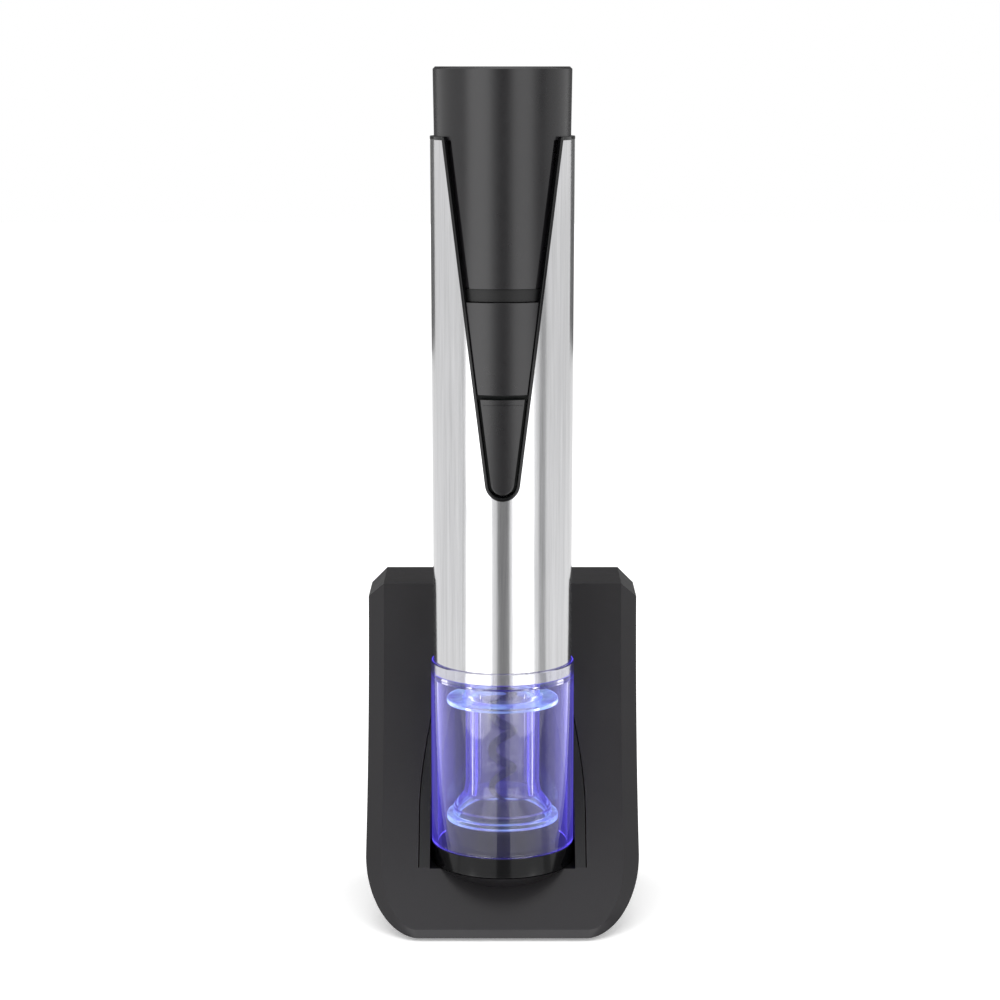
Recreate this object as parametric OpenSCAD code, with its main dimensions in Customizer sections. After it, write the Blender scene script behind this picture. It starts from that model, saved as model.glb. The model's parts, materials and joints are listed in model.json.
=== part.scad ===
/* [Opener body] */
// Height of the whole set above the table
set_h = 288; // [287:1:290]
// Outer radius of the steel sleeve at its shoulder
sleeve_r_top = 23.75; // [23.6:0.05:23.9]
// Outer radius of the steel sleeve at its lower edge
sleeve_r_low = 23.2; // [23.1:0.05:23.25]
// Height of the steel sleeve's lower edge
sleeve_low = 86; // [86:0.5:86.5]
// Height of the steel sleeve's shoulder
shoulder = 264.5; // [262:0.5:267]
// Thickness of the steel sheet
sheet = 0.6; // [0.5:0.05:0.65]
// Outer radius of the black top housing where it leaves the sleeve
housing_r = 22.5; // [22.4:0.05:22.6]
// Outer radius of the black top housing at its top edge
housing_r_top = 22.85; // [22.6:0.05:23]
// Wall of the black housings
wall = 1.8; // [1.6:0.1:2]

/* [Button vee] */
// Angle between each side of the vee and upright
vee_angle = 7.1; // [6.5:0.1:7.5]
// Radius of the vee's round lower end
vee_r = 5.8; // [5.5:0.1:6]
// Height of the vee's lowest point
vee_low = 147.7; // [147:0.1:149]
// Height of the top housing's lower edge
housing_low = 217; // [216:0.5:218]
// Upper edge of the release button
release_top = 212.6; // [211:0.1:213]
// Lower edge of the release button
release_low = 182.5; // [182:0.1:184]
// Upper edge of the drive button
drive_top = 181; // [180:0.1:181.5]
// Travel of each button
press = 0.8; // [0.5:0.1:0.8]

/* [Clear chamber] */
// Outer radius of the clear sleeve and the cutter's ring
clear_r = 24.15; // [24.1:0.01:24.2]
// Inner radius of the clear sleeve
clear_bore = 22.2; // [22:0.1:22.3]
// Outer radius of the cork guide's tube
guide_r = 12.5; // [12.3:0.1:12.8]
// Inner radius of the cork guide's tube
guide_bore = 11; // [10.8:0.1:11.2]
// Radius of the bottle seat at the foot of the cork guide
seat_r = 15.1; // [15:0.1:15.5]
// Radius of the cork guide's flanges
flange_r = 18.9; // [18.5:0.1:19]
// Diameter of the worm's wire
wire_d = 2.8; // [2.4:0.1:3]
// Outer diameter of the worm
worm_d = 10; // [9:0.1:10.4]
// Rise of the worm in one turn
worm_pitch = 13; // [9:0.5:13]

/* [Gearbox] */
// Gear module
gear_m = 0.5; // [0.5]
// Teeth on each sun gear
sun_z = 12; // [12]
// Teeth on each planet gear
planet_z = 24; // [24]
// Width of the gears
gear_w = 6; // [5:0.1:6]
// Thinning of each tooth flank for backlash
backlash = 0.04; // [0.03:0.01:0.05]

/* [Foil cutter] */
// Height of the cutter's ring above its own lower edge
ring_h = 6.8; // [6.5:0.1:7]
// Radius of the plug that goes up into the clear sleeve
plug_r = 19.3; // [19:0.1:19.4]
// Radius of the cutter's opening for the bottle's lip
lip_r = 15.6; // [15.5:0.1:15.8]
// Radius of each cutting wheel
wheel_r = 4; // [3.8:0.1:4]

/* [Charging base] */
// Width of the base
base_w = 93.2; // [92:0.2:95]
// Depth of the base
base_d = 81.5; // [81:0.5:82]
// Height of the base above its own lower face
base_h = 110.5; // [108:0.5:112]
// Radius of the hollow front face, seen from the side
front_r = 142.3; // [141:0.1:144]
// Radius of the base's lower corners, seen from the front
corner_r = 18; // [16:0.5:19]
// Bevel along the front face's edges
bevel = 5.5; // [4:0.5:6]
// Wall of the base's shell
shell_t = 2.4; // [2:0.1:2.6]
// Height that the rubber feet stand below the shell
foot_h = 1; // [1]
// Height of the cradle's floor above the table
floor_z = 20; // [20:0.1:20.2]
// Inner radius of the cradle
cradle_r = 24.65; // [24.55:0.05:24.75]
// Outer radius of the cradle
cradle_out = 28.2; // [28:0.1:28.4]
// Travel of the charging pins
pin_travel = 1; // [0.6:0.1:1]

/* [Hidden] */
$fn = 96;
eps = 0.01;
gap = 0.1;
far = 200;

// The opener's axis stands upright here, and the base's depth is centred on the origin.
axis_y = -12;
front_y = -base_d / 2;
back_y = base_d / 2;
base_top = foot_h + base_h;
half_w = base_w / 2;

// The hollow front face is part of a cylinder that lies across the base.
lip_h = 3;
front_angle = 40;
bow_y = front_y - front_r * sin(front_angle);
bow_z = foot_h + lip_h + front_r * cos(front_angle);
function front_at(z) = bow_y + sqrt(front_r * front_r - (z - bow_z) * (z - bow_z));

// Levels inside the opener, from its lower end up.
ring_top = floor_z + ring_h;
guide_low = 35;
seat_deep = 3.4;
guide_flange = 75.6;
clear_top = sleeve_low + 4;
cap_z = 92;
case_z = 95;
second_z = 98.6;
first_z = 108.8;
mount_z = 117;
motor_z = 119.5;
motor_h = 38;
motor_r = 13.85;
orbit_r = gear_m * (sun_z + planet_z) / 2;
ring_z = sun_z + 2 * planet_z;
case_r = 17.6;
plate_r = 20.2;
chassis_r = 22.1;
shaft_r = 3.5;
pin_r = 1.5;
fit = 0.05;
cell_r = 7.1;
cell_h = 48.2;
cell_z = 221.9;
cell_off = 7.35;
board_y = -17.9;
board_t = 1.6;
switch_tip = -20.5;
contact_z = 100;
contact_x = 5;
contact_r = 24.1;
wheel_orbit = 17.8;
wheel_z = floor_z + 3.4;

graphite = "#3d3c3f";
black = "#1d1c1e";
steel = "#c9c9cc";
bright = "#b8bcc2";
clear = [0.62, 0.62, 0.95, 0.45];
brass = "#b79a56";
board_green = "#1f5a3a";
rubber = "#222222";

module on_axis() { translate([0, axis_y, 0]) children(); }
module each_planet(n) { rotate([0, 0, 120 * (n - 1)]) translate([orbit_r, 0, 0]) children(); }

// A cylinder along Y from y to y + h.
module rod_y(r, h, x = 0, y = 0, z = 0) {
    translate([x, y, z]) rotate([-90, 0, 0]) cylinder(r = r, h = h);
}

module tube(r_out, r_in, h, z = 0) {
    translate([0, 0, z]) difference() {
        cylinder(r = r_out, h = h);
        translate([0, 0, -1]) cylinder(r = r_in, h = h + 2);
    }
}

// A tapered tube between two heights.
module taper_tube(r_low, r_high, t, z_low, z_high) {
    rotate_extrude() polygon([[r_low - t, z_low], [r_low, z_low], [r_high, z_high], [r_high - t, z_high]]);
}

// --- The vee in the front of the opener, as seen from the front ---
vee_mid = vee_low + vee_r;
module vee_outline(inset, top) {
    r = vee_r - inset;
    rise = top - (vee_mid - r * sin(vee_angle));
    wide = r * cos(vee_angle) + rise * tan(vee_angle);
    polygon(concat(
        [[-wide, top]],
        [for (k = [0 : 28]) let (a = 180 + vee_angle + (180 - 2 * vee_angle) * k / 28)
            [r * cos(a), vee_mid + r * sin(a)]],
        [[wide, top]]));
}
module vee_prism(inset, low, high) {
    rotate([90, 0, 0]) linear_extrude(height = 40) intersection() {
        vee_outline(inset, high);
        translate([-far / 2, low]) square([far, high - low]);
    }
}
function sleeve_r(z) =
    sleeve_r_low + (sleeve_r_top - sleeve_r_low) * (z - sleeve_low) / (shoulder - sleeve_low);

// --- Involute gears ---
function inv(a) = tan(a) * 180 / PI - a;
function flank(z, r, half) =
    half + inv(20) - inv(acos(min(1, gear_m * z / 2 * cos(20) / r)));
function polar(r, a) = [r * cos(a), r * sin(a)];
function gear_points(z, r_in, r_out, half, steps = 3) =
    [for (i = [0 : z - 1]) let (c = 360 * i / z)
        each concat(
            [for (k = [0 : steps]) let (r = r_in + (r_out - r_in) * k / steps) polar(r, c - flank(z, r, half))],
            [for (k = [steps : -1 : 0]) let (r = r_in + (r_out - r_in) * k / steps) polar(r, c + flank(z, r, half))])];
function half_tooth(z, slack) = 90 / z - slack / (gear_m * z / 2) * 180 / PI;
module gear(z, w) {
    rp = gear_m * z / 2;
    linear_extrude(height = w)
        polygon(gear_points(z, rp - 1.2 * gear_m, rp + 0.9 * gear_m, half_tooth(z, backlash)));
}

// --- A round wire wound along a helix about Z ---
function wire_ring(a, r, pitch, w, sides) =
    let (rise = atan(pitch / (2 * PI * r)),
         out = [cos(a), sin(a), 0],
         up = [sin(a) * sin(rise), -cos(a) * sin(rise), cos(rise)],
         mid = [r * cos(a), r * sin(a), pitch * a / 360])
    [for (s = [0 : sides - 1]) mid + w * (cos(360 * s / sides) * out + sin(360 * s / sides) * up)];
module helix(r, pitch, turns, wire_r, tip = 0, sides = 8, step = 20) {
    rings = round(turns * 360 / step);
    points = [for (i = [0 : rings]) let (a = i * step, grow = tip > 0 ? min(1, 0.2 + 0.8 * i / tip) : 1)
        each wire_ring(a, r, pitch, wire_r * grow, sides)];
    last = rings * sides;
    polyhedron(points, concat(
        [[for (s = [0 : sides - 1]) s]],
        [for (i = [0 : rings - 1]) for (s = [0 : sides - 1])
            let (n = (s + 1) % sides, low = i * sides, high = low + sides)
            each [[low + s, high + s, high + n], [low + s, high + n, low + n]]],
        [[for (s = [sides - 1 : -1 : 0]) last + s]]));
}

// --- Charging base ---
// The base seen from the front: cut upper corners, round lower corners.
module base_outline(inset) {
    w = half_w - inset;
    low = foot_h + inset;
    top = base_top - inset;
    r = corner_r - inset;
    polygon([[-w, low + r], [w, low + r], [w, top - bevel], [w - bevel, top],
             [-w + bevel, top], [-w, top - bevel]]);
    translate([-w + r, low]) square([2 * (w - r), r + 1]);
    for (side = [-1, 1]) translate([side * (w - r), low + r]) circle(r = r);
}
// What lies in front of the bevelled edge on one side.
module bevel_cut(side) {
    rotate([0, 0, side * 45]) rotate([90, 0, 90]) translate([0, 0, -far]) linear_extrude(height = 2 * far)
        polygon(concat([for (z = [-1 : 6 : base_top + 6]) [(front_at(z) - half_w + bevel) / sqrt(2), z]],
                       [[-far, base_top + 6], [-far, -1]]));
}
module base_block() {
    difference() {
        translate([0, back_y, 0]) rotate([90, 0, 0]) linear_extrude(height = base_d) base_outline(0);
        translate([-far / 2, bow_y, bow_z]) rotate([0, 90, 0]) cylinder(r = front_r, h = far, $fn = 200);
        bevel_cut(1);
        bevel_cut(-1);
    }
}
// A block behind the hollow front, deep behind it by t and w wide.
module hollow(t, w, top) {
    difference() {
        translate([-w / 2, front_y, foot_h - 1]) cube([w, base_d - shell_t, top - foot_h + 1]);
        translate([-far / 2, bow_y, bow_z]) rotate([0, 90, 0]) cylinder(r = front_r + t, h = far, $fn = 200);
    }
}
// The cradle's plan: half round behind the opener, straight towards the front.
module cradle_plan(r, reach) {
    on_axis() polygon(concat(
        [[-r, -reach], [r, -reach]],
        [for (k = [0 : 48]) let (a = 180 * k / 48) [r * cos(a), r * sin(a)]]));
}
pocket_z = floor_z - 3;
pocket_reach = 12.2;
module cradle_prism(r, low, high, reach = pocket_reach) {
    translate([0, 0, low]) linear_extrude(height = high - low) cradle_plan(r, reach);
}
// Shallow ledge that carries the front half of the cutter's ring.
module ring_rest() {
    drop = 7;
    on_axis() rotate_extrude()
        polygon([[0, floor_z - drop], [clear_r + 0.2 - drop / tan(35), floor_z - drop],
                 [clear_r + 0.2, floor_z], [0, floor_z]]);
}
boss_places = [for (x = [-21, 21]) for (y = [front_y + 22, back_y - 5.5]) [x, y]];
module base_shell() {
    color(graphite) difference() {
        union() {
            difference() {
                base_block();
                difference() {
                    intersection() {
                        union() {
                            hollow(shell_t, base_w - 2 * (bevel + shell_t), base_top - shell_t);
                            hollow(bevel + shell_t, base_w - 2 * shell_t, base_top - shell_t - bevel);
                        }
                        translate([0, back_y, 0]) rotate([90, 0, 0]) linear_extrude(height = base_d)
                            base_outline(shell_t);
                    }
                    cradle_prism(cradle_out + gap + 2, pocket_z - 2, base_top);
                    for (p = boss_places) translate([p[0], p[1], foot_h + 2.3])
                        cylinder(r = 3, h = pocket_z - foot_h - 3);
                }
            }
            intersection() {
                ring_rest();
                translate([-far / 2, front_y, 0]) cube([far, base_d / 2, base_top]);
            }
        }
        cradle_prism(cradle_out + gap, pocket_z, base_top + 1);
        cradle_prism(cradle_r, floor_z, base_top + 1, 60);
        // opening for the bottom cover
        translate([-cover_w / 2 - gap, cover_front - gap, -1])
            cube([cover_w + 2 * gap, cover_back - cover_front + 2 * gap, foot_h + 3.3]);
        for (p = boss_places) translate([p[0], p[1], 0]) cylinder(r = 1.1, h = 12);
        // opening for the charging socket
        rod_y(jack_r + 1, 10, 0, back_y - 5, jack_z);
        // opening for the charging pins' block
        translate([-pin_block_w / 2 - gap, axis_y + 20, contact_z - 6 - gap])
            cube([pin_block_w + 2 * gap, 14, 12 + 2 * gap]);
    }
}
module cradle_insert() {
    color(black) difference() {
        intersection() {
            cradle_prism(cradle_out, pocket_z, base_top);
            base_block();
        }
        cradle_prism(cradle_r, floor_z, base_top + 1, 60);
        for (x = [-contact_x, contact_x]) rod_y(1.3, 20, x, axis_y + 15, contact_z);
    }
}
cover_w = 50;
cover_front = front_y + 7;
cover_back = back_y - shell_t - 0.5;
feet = [for (x = [-17, 17]) for (y = [cover_front + 8, cover_back - 14]) [x, y]];
module bottom_cover() {
    color(black) difference() {
        translate([-cover_w / 2, cover_front, foot_h]) cube([cover_w, cover_back - cover_front, 2.2]);
        for (p = feet) translate([p[0], p[1], 0]) cylinder(r = 5, h = foot_h + 0.9);
        for (p = boss_places) translate([p[0], p[1], -1]) cylinder(r = 1.4, h = 9);
        for (p = boss_places) translate([p[0], p[1], -1]) cylinder(r = 2.6, h = foot_h + 2);
    }
}
module rubber_feet() {
    color(rubber) for (p = feet) translate([p[0], p[1], 0]) {
        cylinder(r1 = 4, r2 = 4.9, h = foot_h);
        translate([0, 0, foot_h]) cylinder(r = 4.9, h = 0.8);
    }
}
module base_screws() {
    color(steel) for (p = boss_places) translate([p[0], p[1], 0]) {
        translate([0, 0, foot_h + 0.2]) difference() {
            cylinder(r = 2.4, h = 0.75);
            translate([-1.6, -0.3, -1]) cube([3.2, 0.6, 1.4]);
        }
        translate([0, 0, foot_h + 0.9]) cylinder(r = 1, h = 9);
    }
}
module ballast_plate() {
    color(steel) difference() {
        translate([-24, front_y + 16, foot_h + 2.4]) cube([48, 60, 5]);
        for (p = boss_places) translate([p[0], p[1], 0]) cylinder(r = 3.3, h = 20);
        translate([-9, back_y - 17, 0]) cube([18, 30, 20]);
    }
}
board_back = axis_y + 43;
module charge_board() {
    color(board_green) translate([-24, board_back, 30]) cube([48, 1.6, 52]);
    color(black) {
        translate([-16, board_back - 4, 36]) cube([12, 4, 14]);
        translate([4, board_back - 3, 40]) cube([10, 3, 8]);
        rod_y(3.2, 7, -12, board_back - 7, 68);
        rod_y(3.2, 7, 8, board_back - 7, 66);
    }
}
jack_r = 5;
jack_z = 16;
module dc_jack() {
    color(black) {
        difference() {
            union() {
                rod_y(jack_r, 3.2, 0, back_y - 3.2, jack_z);
                translate([-5.5, back_y - 14, jack_z - 5.5]) cube([11, 10.8, 11]);
            }
            rod_y(2.8, 11, 0, back_y - 10, jack_z);
        }
    }
    color(steel) rod_y(1, 9.5, 0, back_y - 10.5, jack_z);
}
pin_block_w = 20;
pin_front = axis_y + cradle_out + 0.2;
pin_tip = axis_y + 23.76;
module pin_holder() {
    color(black) difference() {
        translate([-pin_block_w / 2, pin_front, contact_z - 6]) cube([pin_block_w, 11, 12]);
        for (x = [-contact_x, contact_x]) {
            rod_y(1.25, 30, x, pin_front - 5, contact_z);
            rod_y(2.6, 7.4, x, pin_front + 1.6, contact_z);
        }
    }
}
module charge_pin(x) {
    color(brass) {
        rod_y(1.2, 13.6, x, pin_tip + 1.2, contact_z);
        translate([x, pin_tip + 1.2, contact_z]) sphere(r = 1.2, $fn = 32);
        rod_y(2, 0.8, x, pin_front + 1.7, contact_z);
    }
}
module pin_spring(x) {
    color(steel) translate([x, pin_front + 2.8, contact_z]) rotate([-90, 0, 0])
        helix(1.75, 0.95, 6, 0.2, 0, 6, 30);
}
module charge_pin_left() { charge_pin(-contact_x); }
module charge_pin_right() { charge_pin(contact_x); }
module pin_spring_left() { pin_spring(-contact_x); }
module pin_spring_right() { pin_spring(contact_x); }

// --- Opener: outside ---
panel_inset = 3;
trim_w = 1;
groove_r = 21.4;
module top_housing() {
    color(graphite) on_axis() difference() {
        union() {
            taper_tube(housing_r, housing_r, wall, housing_low, shoulder);
            taper_tube(housing_r, housing_r_top, wall, shoulder, set_h - 0.5);
            taper_tube(housing_r_top, housing_r_top - 0.5, wall - 0.5, set_h - 0.5, set_h);
            tube(housing_r - wall + eps, 18.4, 2, housing_low + 0.2);
        }
        translate([0, 0, set_h - 3]) cylinder(r = 21.6, h = 4);
        difference() {
            intersection() {
                tube(24, groove_r, shoulder - housing_low + 1, housing_low - 1);
                vee_prism(trim_w - 0.2, housing_low - 1, shoulder);
            }
            vee_prism(panel_inset, housing_low - 2, shoulder + 2);
        }
    }
}
module top_cap() {
    color(graphite) on_axis() {
        translate([0, 0, set_h - 2.9]) cylinder(r = 21.5, h = 2.3);
        translate([0, 0, set_h - 0.6]) cylinder(r1 = 21.5, r2 = 20.9, h = 0.6);
        tube(20.6, 18.6, 4, set_h - 6.8);
    }
}
module steel_sleeve() {
    color(steel) on_axis() difference() {
        taper_tube(sleeve_r_low, sleeve_r_top, sheet, sleeve_low, shoulder);
        vee_prism(0, vee_low - 1, shoulder + 1);
        contact_window(0.05);
    }
}
module vee_trim() {
    proud = 0.15;
    color(black) on_axis() {
        difference() {
            intersection() {
                taper_tube(sleeve_r_low + proud, sleeve_r_top + proud, sheet + 0.9, sleeve_low, shoulder);
                vee_prism(0, vee_low - 1, shoulder);
            }
            vee_prism(trim_w, vee_low - 1, shoulder + 1);
            translate([0, 0, vee_low - 2]) cylinder(r = chassis_r + 0.05, h = housing_low - vee_low + 2);
            translate([0, 0, housing_low]) cylinder(r = housing_r + 0.05, h = 100);
        }
        difference() {
            tube(sleeve_r_top + proud, housing_r + 0.1, 1.1, shoulder);
            translate([0, 0, -6]) vee_prism(trim_w, shoulder - 1, shoulder + 9);
        }
    }
}
module chassis() {
    on_axis() difference() {
        union() {
            tube(chassis_r, chassis_r - wall, housing_low - 0.2 - sleeve_low - 0.2, sleeve_low + 0.2);
            for (x = [-17.7, 17.7]) for (z = [138, 206]) intersection() {
                rod_y(2.4, 24, x, -12, z);
                translate([0, 0, sleeve_low]) cylinder(r = chassis_r - 0.5, h = 140);
            }
            tube(chassis_r - 1, 19.2, 2.2, mount_z + 2.7);
        }
        for (x = [-17.7, 17.7]) for (z = [138, 206]) {
            rod_y(1.05, 20, x, -8.5, z);
            rod_y(2.05, 10, x, 9.4, z);
        }
        vee_prism(0.9, vee_low, release_top + 0.2);
        intersection() {
            tube(24, groove_r, 8, release_top - 1);
            vee_prism(0.9, release_top - 1, housing_low);
        }
        contact_window(0.1);
    }
}
module chassis_front() {
    color(black) intersection() {
        chassis();
        translate([-50, axis_y - 50, 0]) cube([100, 50 - 0.05, 300]);
    }
}
module chassis_rear() {
    color(black) intersection() {
        chassis();
        translate([-50, axis_y + 0.05, 0]) cube([100, 50, 300]);
    }
}
module chassis_screws() {
    color(steel) on_axis() for (x = [-17.7, 17.7]) for (z = [138, 206]) {
        rod_y(1, 17.5, x, -8, z);
        rod_y(2, 0.9, x, 9.45, z);
    }
}

// --- Opener: buttons and electronics ---
button_r = 23;
module button(inset, low, high, tip_z) {
    intersection() {
        tube(button_r, 21.45, high - low, low);
        vee_prism(inset, low, high);
    }
    translate([-3, -21.9, tip_z - 3]) cube([6, 21.9 + switch_tip - press - 0.05, 6]);
}
module release_button() { color(graphite) on_axis() button(trim_w + 0.3, release_low, release_top, 197); }
module drive_button() {
    color(graphite) on_axis() difference() {
        button(2, vee_low + 1, drive_top, 166);
        translate([-10, -30, drive_top + 0.4]) rotate([24, 0, 0]) cube([20, 12, 6]);
    }
}
module control_board() {
    color(board_green) on_axis() translate([-8.6, board_y, 150]) cube([17.2, board_t, 62]);
    color(black) on_axis() {
        translate([-3, board_y + board_t, 178]) cube([6, 1.4, 8]);
        translate([-6, board_y + board_t, 200]) cube([5, 1.2, 5]);
    }
}
module tact_switches() {
    for (z = [166, 197]) on_axis() {
        color(bright) translate([-3, board_y - 1.6, z - 3]) cube([6, 1.6, 6]);
        color(black) rod_y(1.6, board_y - 1.6 - switch_tip, 0, switch_tip, z);
    }
}
cell_places = [for (x = [-cell_off, cell_off]) for (y = [-cell_off, cell_off]) [x, y]];
module battery_cells() {
    color("#2c5f9e") on_axis() for (p = cell_places) translate([p[0], p[1], cell_z]) {
        cylinder(r = cell_r, h = cell_h - 1);
        translate([0, 0, cell_h - 1]) cylinder(r = 2.7, h = 1);
    }
}
module battery_holder() {
    color(black) on_axis() {
        tube(19.8, 2, 2.2, cell_z - 2.6);
        tube(19.8, 2, 2.2, cell_z + cell_h + 0.4);
        for (a = [0 : 90 : 270]) rotate([0, 0, a]) translate([16.6, 0, cell_z - 1]) cylinder(r = 2, h = cell_h + 2);
    }
}
module battery_tabs() {
    color(bright) on_axis() {
        for (x = [-cell_off, cell_off]) translate([x - 3, -11, cell_z - 0.4]) cube([6, 22, 0.4]);
        translate([-11, -cell_off - 3, cell_z + cell_h]) cube([22, 6, 0.4]);
        for (x = [-cell_off, cell_off]) translate([x - 3, cell_off - 3, cell_z + cell_h]) cube([6, 6, 0.4]);
    }
}

// --- Opener: motor and gearbox ---
module motor_can() {
    color(bright) on_axis() difference() {
        union() {
            translate([0, 0, motor_z]) cylinder(r = motor_r, h = motor_h);
            translate([0, 0, motor_z - 1.5]) cylinder(r = 5, h = 2);
            translate([0, 0, motor_z + motor_h]) cylinder(r = 5, h = 2);
            for (x = [-8, 8]) translate([x - 1.2, 4, motor_z + motor_h]) cube([2.4, 0.5, 5]);
        }
        translate([0, 0, motor_z - 5]) cylinder(r = 1.15 + fit, h = motor_h);
        for (x = [-8, 8]) translate([x, 0, motor_z - 1]) cylinder(r = 1.05, h = 5);
    }
}
module motor_pinion() {
    color(steel) on_axis() {
        translate([0, 0, first_z]) rotate([0, 0, 180 / sun_z]) gear(sun_z, gear_w);
        translate([0, 0, first_z + gear_w - eps]) cylinder(r = 1.15, h = 30);
    }
}
module motor_mount() {
    color(bright) on_axis() difference() {
        translate([0, 0, mount_z]) cylinder(r = plate_r, h = motor_z - mount_z);
        translate([0, 0, mount_z - 1]) cylinder(r = 5.1, h = 9);
        for (x = [-8, 8]) translate([x, 0, mount_z - 1]) cylinder(r = 1.2, h = 9);
        for (a = [45 : 90 : 315]) rotate([0, 0, a]) translate([16.6, 0, mount_z - 1]) cylinder(r = 0.7, h = 9);
    }
}
module motor_screws() {
    color(steel) on_axis() for (x = [-8, 8]) translate([x, 0, mount_z - 0.6]) {
        cylinder(r = 1.8, h = 0.6);
        cylinder(r = 1, h = 6);
    }
}
module gearbox_case() {
    rp = gear_m * ring_z / 2;
    color("#8d8f93") on_axis() difference() {
        translate([0, 0, case_z]) cylinder(r = case_r, h = mount_z - case_z);
        translate([0, 0, case_z - 1]) linear_extrude(height = 40)
            polygon(gear_points(ring_z, rp - 0.9 * gear_m, rp + 1.2 * gear_m, half_tooth(ring_z, -backlash)));
        translate([0, 0, case_z - 1]) cylinder(r = rp + 0.8, h = 4);
        for (a = [45 : 90 : 315]) rotate([0, 0, a]) translate([16.6, 0, mount_z - 6]) cylinder(r = 0.7, h = 9);
    }
}
module gearbox_cap() {
    color("#8d8f93") on_axis() difference() {
        translate([0, 0, cap_z]) cylinder(r = plate_r, h = case_z - cap_z);
        translate([0, 0, cap_z - 1]) cylinder(r = 5, h = 9);
    }
}
module output_bush() { color(brass) on_axis() tube(5, shaft_r + fit, case_z - cap_z, cap_z); }
module carrier(z, pin_h) {
    translate([0, 0, z - 3]) cylinder(r = 12, h = 2.6);
    for (n = [1 : 3]) each_planet(n) translate([0, 0, z - 0.5]) cylinder(r = pin_r, h = pin_h);
}
module planet(z) {
    translate([0, 0, z]) difference() {
        gear(planet_z, gear_w);
        translate([0, 0, -1]) cylinder(r = pin_r + fit, h = gear_w + 2);
    }
}
module carrier_first() {
    color(bright) on_axis() {
        carrier(first_z, gear_w + 1.2);
        translate([0, 0, second_z + 0.2]) rotate([0, 0, 180 / sun_z])
            gear(sun_z, first_z - 3 + eps - second_z - 0.2);
    }
}
module carrier_output() {
    color(bright) on_axis() {
        carrier(second_z, gear_w + 1);
        translate([0, 0, 84]) cylinder(r = shaft_r, h = second_z - 3 + eps - 84);
    }
}
module planet_first(n) { color(brass) on_axis() each_planet(n) planet(first_z); }
module planet_second(n) { color(brass) on_axis() each_planet(n) planet(second_z); }
module planet_first_1() { planet_first(1); }
module planet_first_2() { planet_first(2); }
module planet_first_3() { planet_first(3); }
module planet_second_1() { planet_second(1); }
module planet_second_2() { planet_second(2); }
module planet_second_3() { planet_second(3); }

// --- Opener: worm and clear chamber ---
hub_low = 82;
worm_low = 39;
module worm_hub() {
    color(black) on_axis() difference() {
        union() {
            translate([0, 0, hub_low]) cylinder(r1 = 5.6, r2 = 6.4, h = 3);
            translate([0, 0, hub_low + 3]) cylinder(r = 6.4, h = cap_z - 0.4 - hub_low - 3);
        }
        translate([0, 0, 84]) cylinder(r = shaft_r, h = 20);
    }
}
module worm() {
    color("#2a2a2e") on_axis() translate([0, 0, worm_low])
        helix(worm_d / 2 - wire_d / 2, worm_pitch, (hub_low - worm_low) / worm_pitch, wire_d / 2, 14);
}
module led_board() {
    color(board_green) on_axis() tube(18.2, 9, 1.2, 90.1);
}
module leds() {
    color("#9fb4ff") on_axis() for (a = [45 : 90 : 315]) rotate([0, 0, a]) translate([15.4, 0, 87.6]) {
        cylinder(r = 1.5, h = 2.5);
        sphere(r = 1.5, $fn = 32);
    }
}
module cork_guide() {
    color(clear) on_axis() {
        rotate_extrude() polygon([
            [seat_r, guide_low], [flange_r, guide_low], [flange_r, guide_low + 2], [seat_r + 1.6, guide_low + 2],
            [seat_r + 1.6, guide_low + 4.5], [guide_r + 0.6, guide_low + 9], [guide_r, guide_low + 13],
            [guide_r, guide_flange - 1], [guide_r + 1, guide_flange], [flange_r, guide_flange],
            [flange_r, guide_flange + 1.6], [guide_r + 0.6, guide_flange + 1.8], [guide_r + 0.2, guide_flange + 3],
            [guide_r + 0.2, 90], [guide_bore + 0.2, 90], [guide_bore, guide_flange], [guide_bore, guide_low + 13],
            [guide_bore + 0.8, guide_low + 9], [seat_r, guide_low + seat_deep]]);
        for (a = [45 : 90 : 315]) rotate([0, 0, a]) translate([guide_r - 0.6, -0.6, guide_low + 10])
            cube([2, 1.2, guide_flange - guide_low - 10 + 0.5]);
    }
}
module clear_sleeve() {
    color(clear) on_axis() rotate_extrude() polygon([
        [clear_bore, ring_top + 0.1], [clear_r - 0.3, ring_top + 0.1], [clear_r, ring_top + 0.5],
        [clear_r, clear_top - 0.3], [clear_r - 0.3, clear_top], [clear_r - 0.75, clear_top],
        [clear_r - 0.75, sleeve_low - 0.1], [plate_r, sleeve_low - 0.1],
        [plate_r, sleeve_low + 5], [plate_r - 1.4, sleeve_low + 5], [plate_r - 1.4, sleeve_low - 2],
        [clear_bore, sleeve_low - 2]]);
}

// --- Opener: charging contacts at the back ---
module contact_window(slack) {
    w = 17 + 2 * slack;
    h = 9 + 2 * slack;
    translate([-w / 2, 15, contact_z - h / 2]) cube([w, 20, h]);
}
module contact_block() {
    color(black) on_axis() difference() {
        intersection() {
            tube(contact_r, chassis_r - wall + 0.05, 9, contact_z - 4.5);
            contact_window(0);
        }
        for (x = [-contact_x, contact_x]) rod_y(2.2, 20, x, 15, contact_z);
    }
}
module contact_pads() {
    color(brass) on_axis() intersection() {
        tube(contact_r, chassis_r - wall + 0.2, 9, contact_z - 4.5);
        for (x = [-contact_x, contact_x]) rod_y(2.2, 20, x, 15, contact_z);
    }
}

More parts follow.
